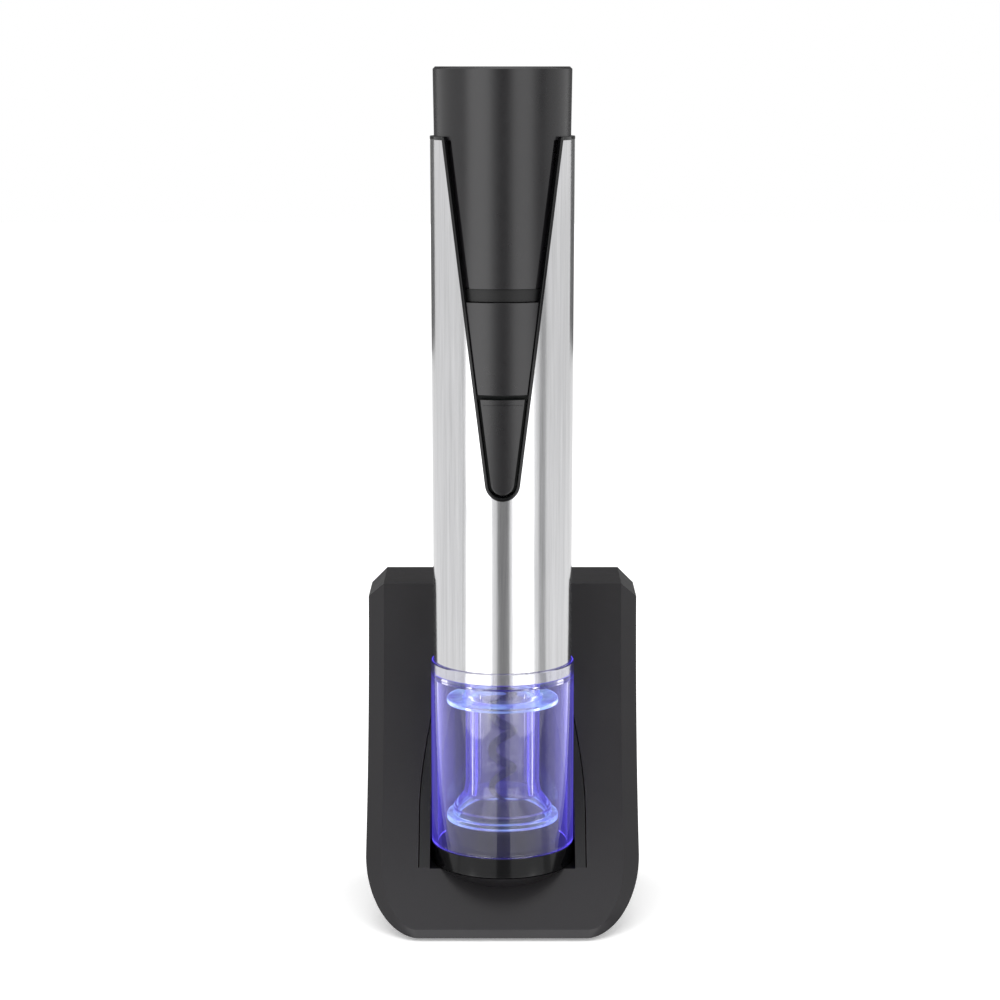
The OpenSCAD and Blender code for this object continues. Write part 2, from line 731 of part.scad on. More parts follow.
// --- Foil cutter ---
module each_wheel(n) { rotate([0, 0, 45 + 90 * (n - 1)]) translate([wheel_orbit, 0, 0]) children(); }
module cutter_body() {
    color(black) on_axis() difference() {
        union() {
            translate([0, 0, floor_z]) cylinder(r1 = clear_r - 0.3, r2 = clear_r, h = 0.4);
            translate([0, 0, floor_z + 0.4]) cylinder(r = clear_r, h = ring_h - 0.4);
            translate([0, 0, floor_z + ring_h]) cylinder(r = plug_r, h = guide_low - 1 - floor_z - ring_h);
            translate([0, 0, guide_low - 1]) cylinder(r1 = plug_r, r2 = plug_r - 0.7, h = 0.7);
            for (a = [0, 90, 180]) rotate([0, 0, a]) translate([plug_r - 1, -3, ring_top + 0.5])
                cube([clear_bore - plug_r + 0.8, 6, 4]);
        }
        translate([0, 0, floor_z - 1]) cylinder(r = lip_r, h = guide_low - 2.4 - floor_z);
        translate([0, 0, floor_z - 1]) cylinder(r = lip_r + 6.9, h = 5.6);
        for (n = [1 : 4]) each_wheel(n) translate([0, 0, floor_z]) cylinder(r = 0.78, h = ring_h + 2);
    }
}
module cutter_plate() {
    color(black) on_axis() difference() {
        translate([0, 0, floor_z + 0.3]) cylinder(r = lip_r + 6.8, h = 1.6);
        translate([0, 0, floor_z - 1]) cylinder(r = lip_r, h = 9);
        for (n = [1 : 4]) each_wheel(n) translate([0, 0, floor_z]) cylinder(r = 0.78, h = 9);
    }
}
module wheel_pins() {
    color(steel) on_axis() for (n = [1 : 4]) each_wheel(n) translate([0, 0, floor_z + 0.5])
        cylinder(r = 0.75, h = ring_h + 0.6);
}
module cutting_wheel(n) {
    color(steel) on_axis() each_wheel(n) translate([0, 0, wheel_z]) difference() {
        rotate_extrude() polygon([[0, -0.7], [wheel_r - 1.6, -0.7], [wheel_r, -0.05], [wheel_r, 0.05],
                                  [wheel_r - 1.6, 0.7], [0, 0.7]]);
        translate([0, 0, -1]) cylinder(r = 0.8, h = 2);
    }
}
module cutting_wheel_1() { cutting_wheel(1); }
module cutting_wheel_2() { cutting_wheel(2); }
module cutting_wheel_3() { cutting_wheel(3); }
module cutting_wheel_4() { cutting_wheel(4); }

base_shell();
cradle_insert();
bottom_cover();
rubber_feet();
ballast_plate();
charge_board();
dc_jack();
pin_holder();
charge_pin_left();
charge_pin_right();
pin_spring_left();
pin_spring_right();
base_screws();
top_housing();
top_cap();
steel_sleeve();
vee_trim();
chassis_front();
chassis_rear();
chassis_screws();
release_button();
drive_button();
control_board();
tact_switches();
battery_cells();
battery_holder();
battery_tabs();
motor_can();
motor_pinion();
motor_mount();
motor_screws();
gearbox_case();
gearbox_cap();
carrier_first();
carrier_output();
output_bush();
planet_first_1();
planet_first_2();
planet_first_3();
planet_second_1();
planet_second_2();
planet_second_3();
worm_hub();
worm();
led_board();
leds();
cork_guide();
clear_sleeve();
contact_block();
contact_pads();
cutter_body();
cutter_plate();
wheel_pins();
cutting_wheel_1();
cutting_wheel_2();
cutting_wheel_3();
cutting_wheel_4();
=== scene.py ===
"""Looks of a cordless electric wine opener standing in its charging base."""
import json
import math

import bmesh
import bpy
from bpy.props import FloatProperty, FloatVectorProperty, PointerProperty
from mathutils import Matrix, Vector


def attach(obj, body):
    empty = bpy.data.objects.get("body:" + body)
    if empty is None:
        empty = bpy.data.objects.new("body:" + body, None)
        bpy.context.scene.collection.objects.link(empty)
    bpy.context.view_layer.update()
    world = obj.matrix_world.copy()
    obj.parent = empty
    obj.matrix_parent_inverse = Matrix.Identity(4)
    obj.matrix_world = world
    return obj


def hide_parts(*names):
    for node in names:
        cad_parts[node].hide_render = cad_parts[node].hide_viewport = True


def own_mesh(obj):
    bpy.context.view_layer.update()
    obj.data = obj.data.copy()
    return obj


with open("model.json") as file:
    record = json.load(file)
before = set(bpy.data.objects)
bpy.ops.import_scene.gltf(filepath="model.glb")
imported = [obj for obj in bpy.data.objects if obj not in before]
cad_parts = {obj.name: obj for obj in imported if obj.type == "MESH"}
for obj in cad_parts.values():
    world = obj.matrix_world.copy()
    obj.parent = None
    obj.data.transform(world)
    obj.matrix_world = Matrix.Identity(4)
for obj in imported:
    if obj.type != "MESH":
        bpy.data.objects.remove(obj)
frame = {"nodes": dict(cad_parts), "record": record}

bl_info = {
    "name": "Electric Wine Opener",
    "version": (1, 0, 0),
    "blender": (4, 5, 0),
    "location": "View3D > Sidebar > Wine Opener",
    "description": "Builds the looks of an electric wine opener and its charging base",
    "category": "Object",
}

AXIS_Y = -12.0  # the opener stands upright this far in front of the base's middle, in mm
BASE_TOP = 111.5
BASE_BACK = 40.75
FRONT_R = 142.3
BOW_Y = -132.2
BOW_Z = 113.0
FLOOR_Z = 20.0
SHOULDER = 264.5
VEE_ANGLE = math.radians(7.1)
VEE_R = 5.8
VEE_MID = 153.5
SLEEVE_FOOT = 86.0
OPENER_TOP = 288.0
CRADLE_REACH = 12.2  # straight walls of the cradle, from the opener's axis to the front
CLEAR_OF_BASE = 120.0
PIN_X = 5.0
PIN_Z = 100.0
TURN_STEPS = 320
SCREW_PLACES = [(x, y) for x in (-21.0, 21.0) for y in (-18.75, 35.25)]
FULL_CIRCLE = 2 * math.pi
LINES_ACROSS = (0.012, 1.0, 80.0)  # stretches the tool lines across the depth instead of up
CARD_REACH = 1500.0


# ---------------------------------------------------------------- settings


def length(name, mm, about):
    return FloatProperty(name=name, default=mm / 1000, min=0.0, unit="LENGTH", precision=4, description=about)


def shade(name, value, about):
    return FloatVectorProperty(name=name, default=value, size=3, min=0.0, max=1.0, subtype="COLOR",
                               description=about)


def lamp_level(name, value, about):
    return FloatProperty(name=name, default=value, min=0.0, description=about)


class OpenerSizes(bpy.types.PropertyGroup):
    """Sizes of the opener's shown parts"""

    sleeve_low: length("Sleeve radius, low", 23.2, "Radius of the steel sleeve at its lower edge")
    sleeve_high: length("Sleeve radius, high", 23.75, "Radius of the steel sleeve at its shoulder")
    housing_low: length("Housing radius, low", 22.5, "Radius of the black housing at the shoulder")
    housing_high: length("Housing radius, high", 22.85, "Radius of the black housing at its top edge")
    clear_radius: length("Clear sleeve radius", 24.15, "Outer radius of the clear sleeve")
    edge: length("Edge rounding", 0.2, "Rounding of the moulded edges")
    worm_pitch: length("Worm pitch", 13.0, "Rise of the worm in one turn")
    worm_wire: length("Worm wire radius", 1.4, "Radius of the worm's wire")
    worm_coil: length("Worm coil radius", 3.6, "Radius of the helix that the wire follows")


class BaseSizes(bpy.types.PropertyGroup):
    """Sizes of the charging base"""

    half_width: length("Half width", 46.6, "Half the width of the base")
    side_bevel: length("Side bevel", 5.5, "Width of the bevel along the sides of the front face")
    foot_lip: length("Foot lip", 3.0, "Height of the plain band along the foot of the front face")
    corner_width: length("Corner width", 18.0, "Width of the rounded lower corners")
    corner_height: length("Corner height", 22.0, "Height of the rounded lower corners")
    cradle_radius: length("Cradle radius", 24.65, "Inner radius of the cradle")
    insert_radius: length("Insert radius", 28.2, "Outer radius of the cradle's insert")


class Finishes(bpy.types.PropertyGroup):
    """Colours of the finishes"""

    graphite: shade("Graphite plastic", (0.0072, 0.0064, 0.0080), "Plastic of the housing and the keys")
    satin: shade("Satin plastic", (0.019, 0.0178, 0.0198), "Satin plastic of the charging base")
    black: shade("Black plastic", (0.004, 0.004, 0.0045), "Plain black plastic of the hidden mouldings")
    gloss: shade("Gloss black", (0.003, 0.003, 0.0035), "Polished plastic of the cutter's ring and the trim")
    steel: shade("Brushed steel", (0.60, 0.60, 0.61), "Brushed stainless sheet")
    # colours of the blue glow painted on the clear parts; the bright one is also the lamps' own colour
    glow_low: shade("Glow, deep", (0.10, 0.07, 0.78), "Deep blue of the lit chamber")
    glow_high: shade("Glow, bright", (0.42, 0.72, 1.0), "Pale blue where the light leaves the clear parts")


class StudioSettings(bpy.types.PropertyGroup):
    """Studio round the opener"""

    left_lamp: lamp_level("Left card", 2.6, "Brightness of the light card on the left")
    right_lamp: lamp_level("Right card", 2.2, "Brightness of the light card on the right")
    sky: lamp_level("Surround", 1.0, "Brightness of the white surround")
    lens: FloatProperty(name="Lens", default=94.3, min=10.0, unit="CAMERA", description="Focal length")


def opener_sizes():
    return bpy.context.scene.wine_opener_sizes


def base_sizes():
    return bpy.context.scene.wine_opener_base


def finish_colours():
    return bpy.context.scene.wine_opener_finishes


# ---------------------------------------------------------------- mesh tools


def front_at(z):
    """Depth of the base's hollow front face at a height."""
    z = max(z, 4.0)
    return BOW_Y + math.sqrt(FRONT_R**2 - (z - BOW_Z) ** 2)


def clean(mesh, sharp=32.0, merge=0.000002):
    """Merges doubles, turns every face outwards and keeps edges crisp above an angle."""
    bm = bmesh.new()
    bm.from_mesh(mesh)
    bmesh.ops.remove_doubles(bm, verts=bm.verts, dist=merge)
    bmesh.ops.dissolve_degenerate(bm, dist=merge, edges=bm.edges)
    bmesh.ops.recalc_face_normals(bm, faces=bm.faces)
    limit = math.radians(sharp)
    for face in bm.faces:
        face.smooth = True
    for edge in bm.edges:
        edge.smooth = len(edge.link_faces) == 2 and edge.calc_face_angle(0.0) < limit
    bm.to_mesh(mesh)
    bm.free()
    mesh.update()


def solid(name, points, faces):
    """An object from points in millimetres."""
    mesh = bpy.data.meshes.new(name)
    mesh.from_pydata([Vector(p) / 1000 for p in points], [], faces)
    mesh.update()
    clean(mesh)
    made = bpy.data.objects.new(name, mesh)
    bpy.context.scene.collection.objects.link(made)
    return made


def plain_mesh(made):
    """Replaces an object's mesh by what its modifiers make of it."""
    bpy.context.view_layer.update()
    result = bpy.data.meshes.new_from_object(made.evaluated_get(bpy.context.evaluated_depsgraph_get()))
    made.modifiers.clear()
    old = made.data
    made.data = result
    bpy.data.meshes.remove(old)
    return made


def carve(made, tool, operation="DIFFERENCE"):
    """Cuts with, adds or keeps what is shared with another solid, which is then used up."""
    step = made.modifiers.new("Carve", "BOOLEAN")
    step.object = tool
    step.operation = operation
    step.solver = "EXACT"
    plain_mesh(made)
    bpy.data.meshes.remove(tool.data)
    clean(made.data)
    return made


def soften(made, width, parts=2, angle=40.0):
    """Rounds the crisp edges."""
    step = made.modifiers.new("Soften", "BEVEL")
    step.width = width / 1000
    step.segments = parts
    step.limit_method = "ANGLE"
    step.angle_limit = math.radians(angle)
    step.use_clamp_overlap = True
    plain_mesh(made)
    clean(made.data, sharp=45.0, merge=0.0000005)
    return made


def rounded(corners, radius, parts=3):
    """A closed outline with every corner rounded as far as its sides allow."""
    made = []
    count = len(corners)
    for i in range(count):
        here = Vector(corners[i])
        before = Vector(corners[i - 1]) - here
        after = Vector(corners[(i + 1) % count]) - here
        half = before.angle(after) / 2
        if half > math.radians(86):
            made.append(tuple(here))
            continue
        reach = min(radius / math.tan(half), before.length * 0.45, after.length * 0.45)
        start = here + before.normalized() * reach
        stop = here + after.normalized() * reach
        for k in range(parts + 1):
            t = k / parts
            made.append(tuple(start * (1 - t) ** 2 + here * 2 * t * (1 - t) + stop * t**2))
    return made


def lathe(name, profile, steps=192):
    """Turns a closed outline of radius and height round the opener's axis."""
    points = []
    for i in range(steps):
        a = FULL_CIRCLE * i / steps
        points += [(r * math.sin(a), AXIS_Y - r * math.cos(a), z) for r, z in profile]
    n = len(profile)
    faces = []
    for i in range(steps):
        low, high = i * n, (i + 1) % steps * n
        for k in range(n):
            m = (k + 1) % n
            faces.append((low + k, high + k, high + m, low + m))
    return solid(name, points, faces)


def extrude(name, outline, place):
    """A prism: place turns a point of the outline and an end, 0 or 1, into a point in space."""
    n = len(outline)
    points = [place(p, 0) for p in outline] + [place(p, 1) for p in outline]
    faces = [tuple(range(n)), tuple(range(2 * n - 1, n - 1, -1))]
    faces += [(i, (i + 1) % n, n + (i + 1) % n, n + i) for i in range(n)]
    return solid(name, points, faces)


def block(name, low, high):
    corners = [(low[0], low[1]), (high[0], low[1]), (high[0], high[1]), (low[0], high[1])]
    return extrude(name, corners, lambda p, k: (p[0], p[1], high[2] if k else low[2]))


def circle(across, along, radius, sides):
    angles = [FULL_CIRCLE * i / sides for i in range(sides)]
    return [(across + radius * math.cos(a), along + radius * math.sin(a)) for a in angles]


def post(name, x, y, radius, low, high, sides=32):
    return extrude(name, circle(x, y, radius, sides), lambda p, k: (p[0], p[1], high if k else low))


def rod(name, x, z, radius, near, far, sides=32):
    """A round bar along the depth."""
    return extrude(name, circle(x, z, radius, sides), lambda p, k: (p[0], far if k else near, p[1]))


def vee_outline(inset, top, low=None):
    """The vee in the opener's front, seen from the front; low cuts it off level."""
    r = VEE_R - inset
    start = VEE_MID - r * math.sin(VEE_ANGLE)

    def half(z):
        return r * math.cos(VEE_ANGLE) + (z - start) * math.tan(VEE_ANGLE)

    if low is not None:
        return [(-half(top), top), (-half(low), low), (half(low), low), (half(top), top)]
    arc = []
    for k in range(41):
        a = math.pi + VEE_ANGLE + (math.pi - 2 * VEE_ANGLE) * k / 40
        arc.append((r * math.cos(a), VEE_MID + r * math.sin(a)))
    return [(-half(top), top)] + arc + [(half(top), top)]


def vee_prism(inset, top, low=None):
    return extrude("vee", vee_outline(inset, top, low), lambda p, k: (p[0], AXIS_Y - (0 if k else 40), p[1]))


def finish_piece(made, body, finish, replaces=()):
    """Evens the shading, gives a piece its finish and ties it to its body."""
    step = made.modifiers.new("Even", "WEIGHTED_NORMAL")
    step.weight = 100
    step.keep_sharp = True
    plain_mesh(made)
    made.data.materials.clear()
    made.data.materials.append(FINISH_MAKERS[finish]())
    for face in made.data.polygons:
        face.material_index = 0
    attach(made, body)
    if replaces:
        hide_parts(*replaces)
    return made


# ---------------------------------------------------------------- node tools


def add(tree, kind, **settings):
    made = tree.nodes.new(kind)
    for key, value in settings.items():
        setattr(made, key, value)
    return made


def sum_up(tree, operation, first, second):
    """A Math node fed by sockets or plain numbers."""
    made = add(tree, "ShaderNodeMath", operation=operation)
    for i, value in enumerate((first, second)):
        if isinstance(value, bpy.types.NodeSocket):
            tree.links.new(value, made.inputs[i])
        else:
            made.inputs[i].default_value = value
    return made.outputs[0]


def remap(tree, value, from_low, from_high, to_low, to_high):
    made = add(tree, "ShaderNodeMapRange")
    tree.links.new(value, made.inputs["Value"])
    ends = {"From Min": from_low, "From Max": from_high, "To Min": to_low, "To Max": to_high}
    for name, number in ends.items():
        if isinstance(number, bpy.types.NodeSocket):
            tree.links.new(number, made.inputs[name])
        else:
            made.inputs[name].default_value = number
    return made.outputs["Result"]


def noise(tree, vector, scale, detail=4.0, rough=0.55):
    made = add(tree, "ShaderNodeTexNoise")
    tree.links.new(vector, made.inputs["Vector"])
    made.inputs["Scale"].default_value = scale
    made.inputs["Detail"].default_value = detail
    made.inputs["Roughness"].default_value = rough
    return made


def stretch(tree, vector, amounts):
    made = add(tree, "ShaderNodeVectorMath", operation="MULTIPLY")
    tree.links.new(vector, made.inputs[0])
    made.inputs[1].default_value = amounts
    return made.outputs[0]


def scaled_colour(tree, colour, gain):
    """A colour made lighter or darker by one value."""
    tint = add(tree, "ShaderNodeMix", data_type="RGBA", blend_type="MULTIPLY")
    tint.inputs["Factor"].default_value = 1.0
    tree.links.new(colour, tint.inputs["A"])
    grey = add(tree, "ShaderNodeCombineColor")
    for name in ("Red", "Green", "Blue"):
        tree.links.new(gain, grey.inputs[name])
    tree.links.new(grey.outputs["Color"], tint.inputs["B"])
    return tint.outputs["Result"]


def new_group(name, inputs, outputs):
    """A shader node group with its named sockets."""
    tree = bpy.data.node_groups.new(name, "ShaderNodeTree")
    for label, kind, value in inputs:
        made = tree.interface.new_socket(name=label, in_out="INPUT", socket_type=kind)
        if value is not None:
            made.default_value = value
    for label, kind in outputs:
        tree.interface.new_socket(name=label, in_out="OUTPUT", socket_type=kind)
    return tree, add(tree, "NodeGroupInput"), add(tree, "NodeGroupOutput")


def moulded_grain():
    """Fine spark-eroded grain with slow changes of gloss, as on moulded plastic."""
    found = bpy.data.node_groups.get("Moulded Grain")
    if found:
        return found
    value = "NodeSocketFloat"
    tree, start, end = new_group(
        "Moulded Grain",
        [("Vector", "NodeSocketVector", None), ("Color", "NodeSocketColor", (0.02, 0.02, 0.02, 1)),
         ("Roughness", value, 0.4), ("Spread", value, 0.08), ("Grain", value, 0.5)],
        [("Color", "NodeSocketColor"), ("Roughness", value), ("Height", value)],
    )
    fine = noise(tree, start.outputs["Vector"], 2600.0, 3.0)
    slow = noise(tree, start.outputs["Vector"], 38.0, 5.0)
    wear = noise(tree, start.outputs["Vector"], 260.0, 6.0, 0.7)
    centred = sum_up(tree, "SUBTRACT", slow.outputs["Fac"], 0.5)
    shifted = sum_up(tree, "MULTIPLY", centred, start.outputs["Spread"])
    worn = sum_up(tree, "SUBTRACT", wear.outputs["Fac"], 0.5)
    specks = sum_up(tree, "MULTIPLY", worn, start.outputs["Spread"])
    total = sum_up(tree, "ADD", start.outputs["Roughness"], sum_up(tree, "ADD", shifted, specks))
    tree.links.new(total, end.inputs["Roughness"])
    gain = sum_up(tree, "ADD", remap(tree, slow.outputs["Fac"], 0.3, 0.7, 0.94, 1.05),
                  remap(tree, fine.outputs["Fac"], 0.3, 0.7, -0.05, 0.05))
    tree.links.new(scaled_colour(tree, start.outputs["Color"], gain), end.inputs["Color"])
    pits = sum_up(tree, "MULTIPLY", fine.outputs["Fac"], start.outputs["Grain"])
    tree.links.new(pits, end.inputs["Height"])
    return tree


def brushed_lines():
    """Long fine scratches that run up the sheet."""
    found = bpy.data.node_groups.get("Brushed Lines")
    if found:
        return found
    value = "NodeSocketFloat"
    tree, start, end = new_group(
        "Brushed Lines",
        [("Vector", "NodeSocketVector", None), ("Color", "NodeSocketColor", (0.6, 0.6, 0.6, 1)),
         ("Roughness", value, 0.25), ("Spread", value, 0.1), ("Contrast", value, 0.08)],
        [("Color", "NodeSocketColor"), ("Roughness", value), ("Height", value)],
    )
    fine = noise(tree, stretch(tree, start.outputs["Vector"], (1.0, 1.0, 0.012)), 3600.0, 3.0, 0.6)
    broad = noise(tree, stretch(tree, start.outputs["Vector"], (1.0, 1.0, 0.02)), 620.0, 4.0, 0.6)
    slow = noise(tree, start.outputs["Vector"], 20.0, 3.0)
    both = sum_up(tree, "ADD", sum_up(tree, "SUBTRACT", fine.outputs["Fac"], 0.5),
                  sum_up(tree, "SUBTRACT", broad.outputs["Fac"], 0.5))
    gain = sum_up(tree, "ADD", 1.0, sum_up(tree, "MULTIPLY", both, start.outputs["Contrast"]))
    tree.links.new(scaled_colour(tree, start.outputs["Color"], gain), end.inputs["Color"])
    change = sum_up(tree, "ADD", both, sum_up(tree, "SUBTRACT", slow.outputs["Fac"], 0.5))
    change = sum_up(tree, "MULTIPLY", change, start.outputs["Spread"])
    total = sum_up(tree, "ADD", start.outputs["Roughness"], change)
    tree.links.new(total, end.inputs["Roughness"])
    tree.links.new(both, end.inputs["Height"])
    return tree


def painted_glow_and_lamp_colour():
    """Blue glow, painted on the clear plastic in place of the lamps' light: bright at the flanges and edges,
    deep between them; it also gives the lamps their own colour.
    """
    found = bpy.data.node_groups.get("Painted Glow And Lamp Colour")
    if found:
        return found
    value, colour = "NodeSocketFloat", "NodeSocketColor"
    tree, start, end = new_group(
        "Painted Glow And Lamp Colour",
        [("Vector", "NodeSocketVector", None), ("Deep", colour, (0.1, 0.07, 0.8, 1)),
         ("Bright", colour, (0.4, 0.7, 1.0, 1)), ("Level", value, 0.5), ("Band", value, 0.5),
         ("Low Band", value, 0.038), ("High Band", value, 0.077), ("Band Width", value, 0.004)],
        [("Color", colour)],
    )
    split = add(tree, "ShaderNodeSeparateXYZ")
    tree.links.new(start.outputs["Vector"], split.inputs[0])
    height = split.outputs["Z"]
    streaks = noise(tree, stretch(tree, start.outputs["Vector"], (1.0, 1.0, 0.06)), 420.0, 4.0, 0.65)
    clouds = noise(tree, start.outputs["Vector"], 150.0, 4.0)

    def band(at):
        away = sum_up(tree, "ABSOLUTE", sum_up(tree, "SUBTRACT", height, at), 0.0)
        return remap(tree, away, 0.0, start.outputs["Band Width"], 1.0, 0.0)

    # painted highlight bands at the two flange heights
    bands = sum_up(tree, "MAXIMUM", band(start.outputs["Low Band"]), band(start.outputs["High Band"]))
    bands = sum_up(tree, "MULTIPLY", sum_up(tree, "POWER", bands, 1.6), start.outputs["Band"])
    base = remap(tree, streaks.outputs["Fac"], 0.3, 0.75, 0.45, 1.3)
    base = sum_up(tree, "MULTIPLY", base, start.outputs["Level"])
    # the painted glow dims towards the top of the chamber
    base = sum_up(tree, "MULTIPLY", base, remap(tree, height, 0.082, 0.086, 1.0, 0.1))
    bands = sum_up(tree, "MULTIPLY", bands, remap(tree, clouds.outputs["Fac"], 0.35, 0.65, 0.25, 1.5))
    deep = add(tree, "ShaderNodeMix", data_type="RGBA", blend_type="MIX")
    deep.inputs["A"].default_value = (0.0, 0.0, 0.0, 1.0)
    tree.links.new(base, deep.inputs["Factor"])
    tree.links.new(start.outputs["Deep"], deep.inputs["B"])
    lit = add(tree, "ShaderNodeMix", data_type="RGBA", blend_type="MIX")
    tree.links.new(bands, lit.inputs["Factor"])
    tree.links.new(deep.outputs["Result"], lit.inputs["A"])
    tree.links.new(start.outputs["Bright"], lit.inputs["B"])
    tree.links.new(lit.outputs["Result"], end.inputs["Color"])
    return tree


def new_finish(name):
    made = bpy.data.materials.new(name)
    made.use_nodes = True
    tree = made.node_tree
    shader = tree.nodes["Principled BSDF"]
    place = add(tree, "ShaderNodeTexCoord").outputs["Object"]
    return made, tree, shader, place


def use_group(tree, group, place, values):
    made = add(tree, "ShaderNodeGroup", node_tree=group)
    tree.links.new(place, made.inputs["Vector"])
    for key, value in values.items():
        made.inputs[key].default_value = value
    return made


def bump(tree, shader, height, strength, distance):
    made = add(tree, "ShaderNodeBump")
    made.inputs["Strength"].default_value = strength
    made.inputs["Distance"].default_value = distance
    tree.links.new(height, made.inputs["Height"])
    tree.links.new(made.outputs["Normal"], shader.inputs["Normal"])


def rgba(colour):
    return (colour[0], colour[1], colour[2], 1.0)


def made_once(name, build):
    """The finish of this name, which is built the first time that it's asked for."""
    title = name + "_finish"
    return bpy.data.materials.get(title) or build(title)


def moulded(name, colour, roughness, spread, grain, specular=0.5, coat=0.0):
    """Moulded plastic or rubber with its grain."""

    def build(title):
        made, tree, shader, place = new_finish(title)
        group = use_group(tree, moulded_grain(), place,
                          {"Color": rgba(colour), "Roughness": roughness, "Spread": spread, "Grain": grain})
        tree.links.new(group.outputs["Color"], shader.inputs["Base Color"])
        tree.links.new(group.outputs["Roughness"], shader.inputs["Roughness"])
        shader.inputs["Specular IOR Level"].default_value = specular
        shader.inputs["Coat Weight"].default_value = coat
        shader.inputs["Coat Roughness"].default_value = 0.08
        bump(tree, shader, group.outputs["Height"], 0.35, 0.00004)
        return made

    return made_once(name, build)


def metal(name, colour, roughness, spread, contrast, upright=True):
    """Worked metal with its fine tool lines."""

    def build(title):
        made, tree, shader, place = new_finish(title)
        source = place if upright else stretch(tree, place, LINES_ACROSS)
        group = use_group(tree, brushed_lines(), source, {
            "Color": rgba(colour), "Roughness": roughness, "Spread": spread, "Contrast": contrast})
        tree.links.new(group.outputs["Color"], shader.inputs["Base Color"])
        tree.links.new(group.outputs["Roughness"], shader.inputs["Roughness"])
        shader.inputs["Metallic"].default_value = 1.0
        bump(tree, shader, group.outputs["Height"], 0.12, 0.00002)
        return made

    return made_once(name, build)


def clear_finish_painted_glow(name, level, band, low, high, width, strength, facing, tint):
    """Clear acrylic with the chamber's blue light painted on as emission, most of it along its edges."""
    looks = finish_colours()

    def build(title):
        made, tree, shader, place = new_finish(title)
        group = use_group(tree, painted_glow_and_lamp_colour(), place, {
            "Deep": rgba(looks.glow_low), "Bright": rgba(looks.glow_high), "Level": level,
            "Band": band, "Low Band": low, "High Band": high, "Band Width": width})
        tree.links.new(group.outputs["Color"], shader.inputs["Emission Color"])
        # painted glow: the facing weight makes the emission brighter towards the silhouettes, plus an even
        # share everywhere
        edge = add(tree, "ShaderNodeLayerWeight")
        edge.inputs["Blend"].default_value = 0.5
        painted_edge_glow = sum_up(tree, "POWER", edge.outputs["Facing"], 1.8)
        tree.links.new(sum_up(tree, "ADD", sum_up(tree, "MULTIPLY", painted_edge_glow, strength), strength * facing),
                       shader.inputs["Emission Strength"])
        shader.inputs["Base Color"].default_value = (tint, tint, 1.0, 1.0)
        shader.inputs["Transmission Weight"].default_value = 1.0
        shader.inputs["IOR"].default_value = 1.49
        shader.inputs["Specular IOR Level"].default_value = 0.1
        grain = use_group(tree, moulded_grain(), place, {"Roughness": 0.02, "Spread": 0.02, "Grain": 0.3})
        tree.links.new(grain.outputs["Roughness"], shader.inputs["Roughness"])
        return made

    return made_once(name, build)


def graphite_plastic():
    return moulded("graphite_plastic", finish_colours().graphite, 0.29, 0.10, 0.6)


def base_plastic():
    return moulded("base_plastic", finish_colours().satin, 0.40, 0.10, 0.8, specular=0.24)


def black_plastic():
    return moulded("black_plastic", finish_colours().black, 0.42, 0.10, 0.5, specular=0.3)


def gloss_black():
    return moulded("gloss_black", finish_colours().gloss, 0.14, 0.05, 0.1, specular=0.3)


def rubber():
    return moulded("rubber", (0.012, 0.012, 0.012), 0.75, 0.15, 1.0, specular=0.3)


def board():
    return moulded("board", (0.004, 0.010, 0.008), 0.3, 0.12, 0.3, coat=0.3)


def cell_wrap():
    return moulded("cell_wrap", (0.02, 0.09, 0.28), 0.25, 0.08, 0.2, coat=0.4)


def brushed_steel():
    return metal("brushed_steel", finish_colours().steel, 0.15, 0.08, 0.45)


def plain_steel():
    return metal("plain_steel", (0.58, 0.58, 0.60), 0.22, 0.12, 0.08, upright=False)


def zinc():
    return metal("zinc", (0.40, 0.41, 0.43), 0.42, 0.2, 0.1, upright=False)


def brass():
    return metal("brass", (0.62, 0.43, 0.17), 0.24, 0.12, 0.08, upright=False)


def worm_coat():
    return metal("worm_coat", (0.018, 0.018, 0.045), 0.18, 0.1, 0.1, upright=False)


# both clear finishes glow with painted emission that stands in for the lamps' light
def clear_plastic():
    return clear_finish_painted_glow("clear_plastic", 0.8, 0.0, 0.0, 1.0, 0.004, 0.8, 0.03, 0.97)


def guide_plastic():
    return clear_finish_painted_glow("guide_plastic", 0.55, 0.6, 0.0362, 0.0766, 0.0026, 1.1, 0.06, 0.95)


def led():
    looks = finish_colours()

    def build(title):
        made, tree, shader, place = new_finish(title)
        group = use_group(tree, painted_glow_and_lamp_colour(), place, {
            "Deep": rgba(looks.glow_high), "Bright": (1.0, 1.0, 1.0, 1.0), "Level": 0.9,
            "Band": 0.8, "Low Band": 0.086, "High Band": 0.0862, "Band Width": 0.002})
        tree.links.new(group.outputs["Color"], shader.inputs["Emission Color"])
        shader.inputs["Emission Strength"].default_value = 12.0
        shader.inputs["Base Color"].default_value = (0.8, 0.88, 1.0, 1.0)
        shader.inputs["Roughness"].default_value = 0.1
        return made

    return made_once("led", build)


FINISH_MAKERS = {
    "graphite_plastic": graphite_plastic, "black_plastic": black_plastic, "gloss_black": gloss_black,
    "brushed_steel": brushed_steel, "clear_plastic": clear_plastic, "plain_steel": plain_steel,
    "worm_coat": worm_coat, "zinc": zinc, "brass": brass, "board": board, "cell_wrap": cell_wrap,
    "led": led, "rubber": rubber,
}


# ---------------------------------------------------------------- charging base


def cradle_plan(radius, reach):
    """Half round behind the opener, straight towards the front."""
    angles = [math.pi * k / 72 for k in range(73)]
    arc = [(radius * math.cos(a), AXIS_Y + radius * math.sin(a)) for a in angles]
    return [(-radius, AXIS_Y - reach), (radius, AXIS_Y - reach)] + arc


def cradle_prism(radius, reach, low, high):
    return extrude("cradle", cradle_plan(radius, reach), lambda p, k: (p[0], p[1], high if k else low))


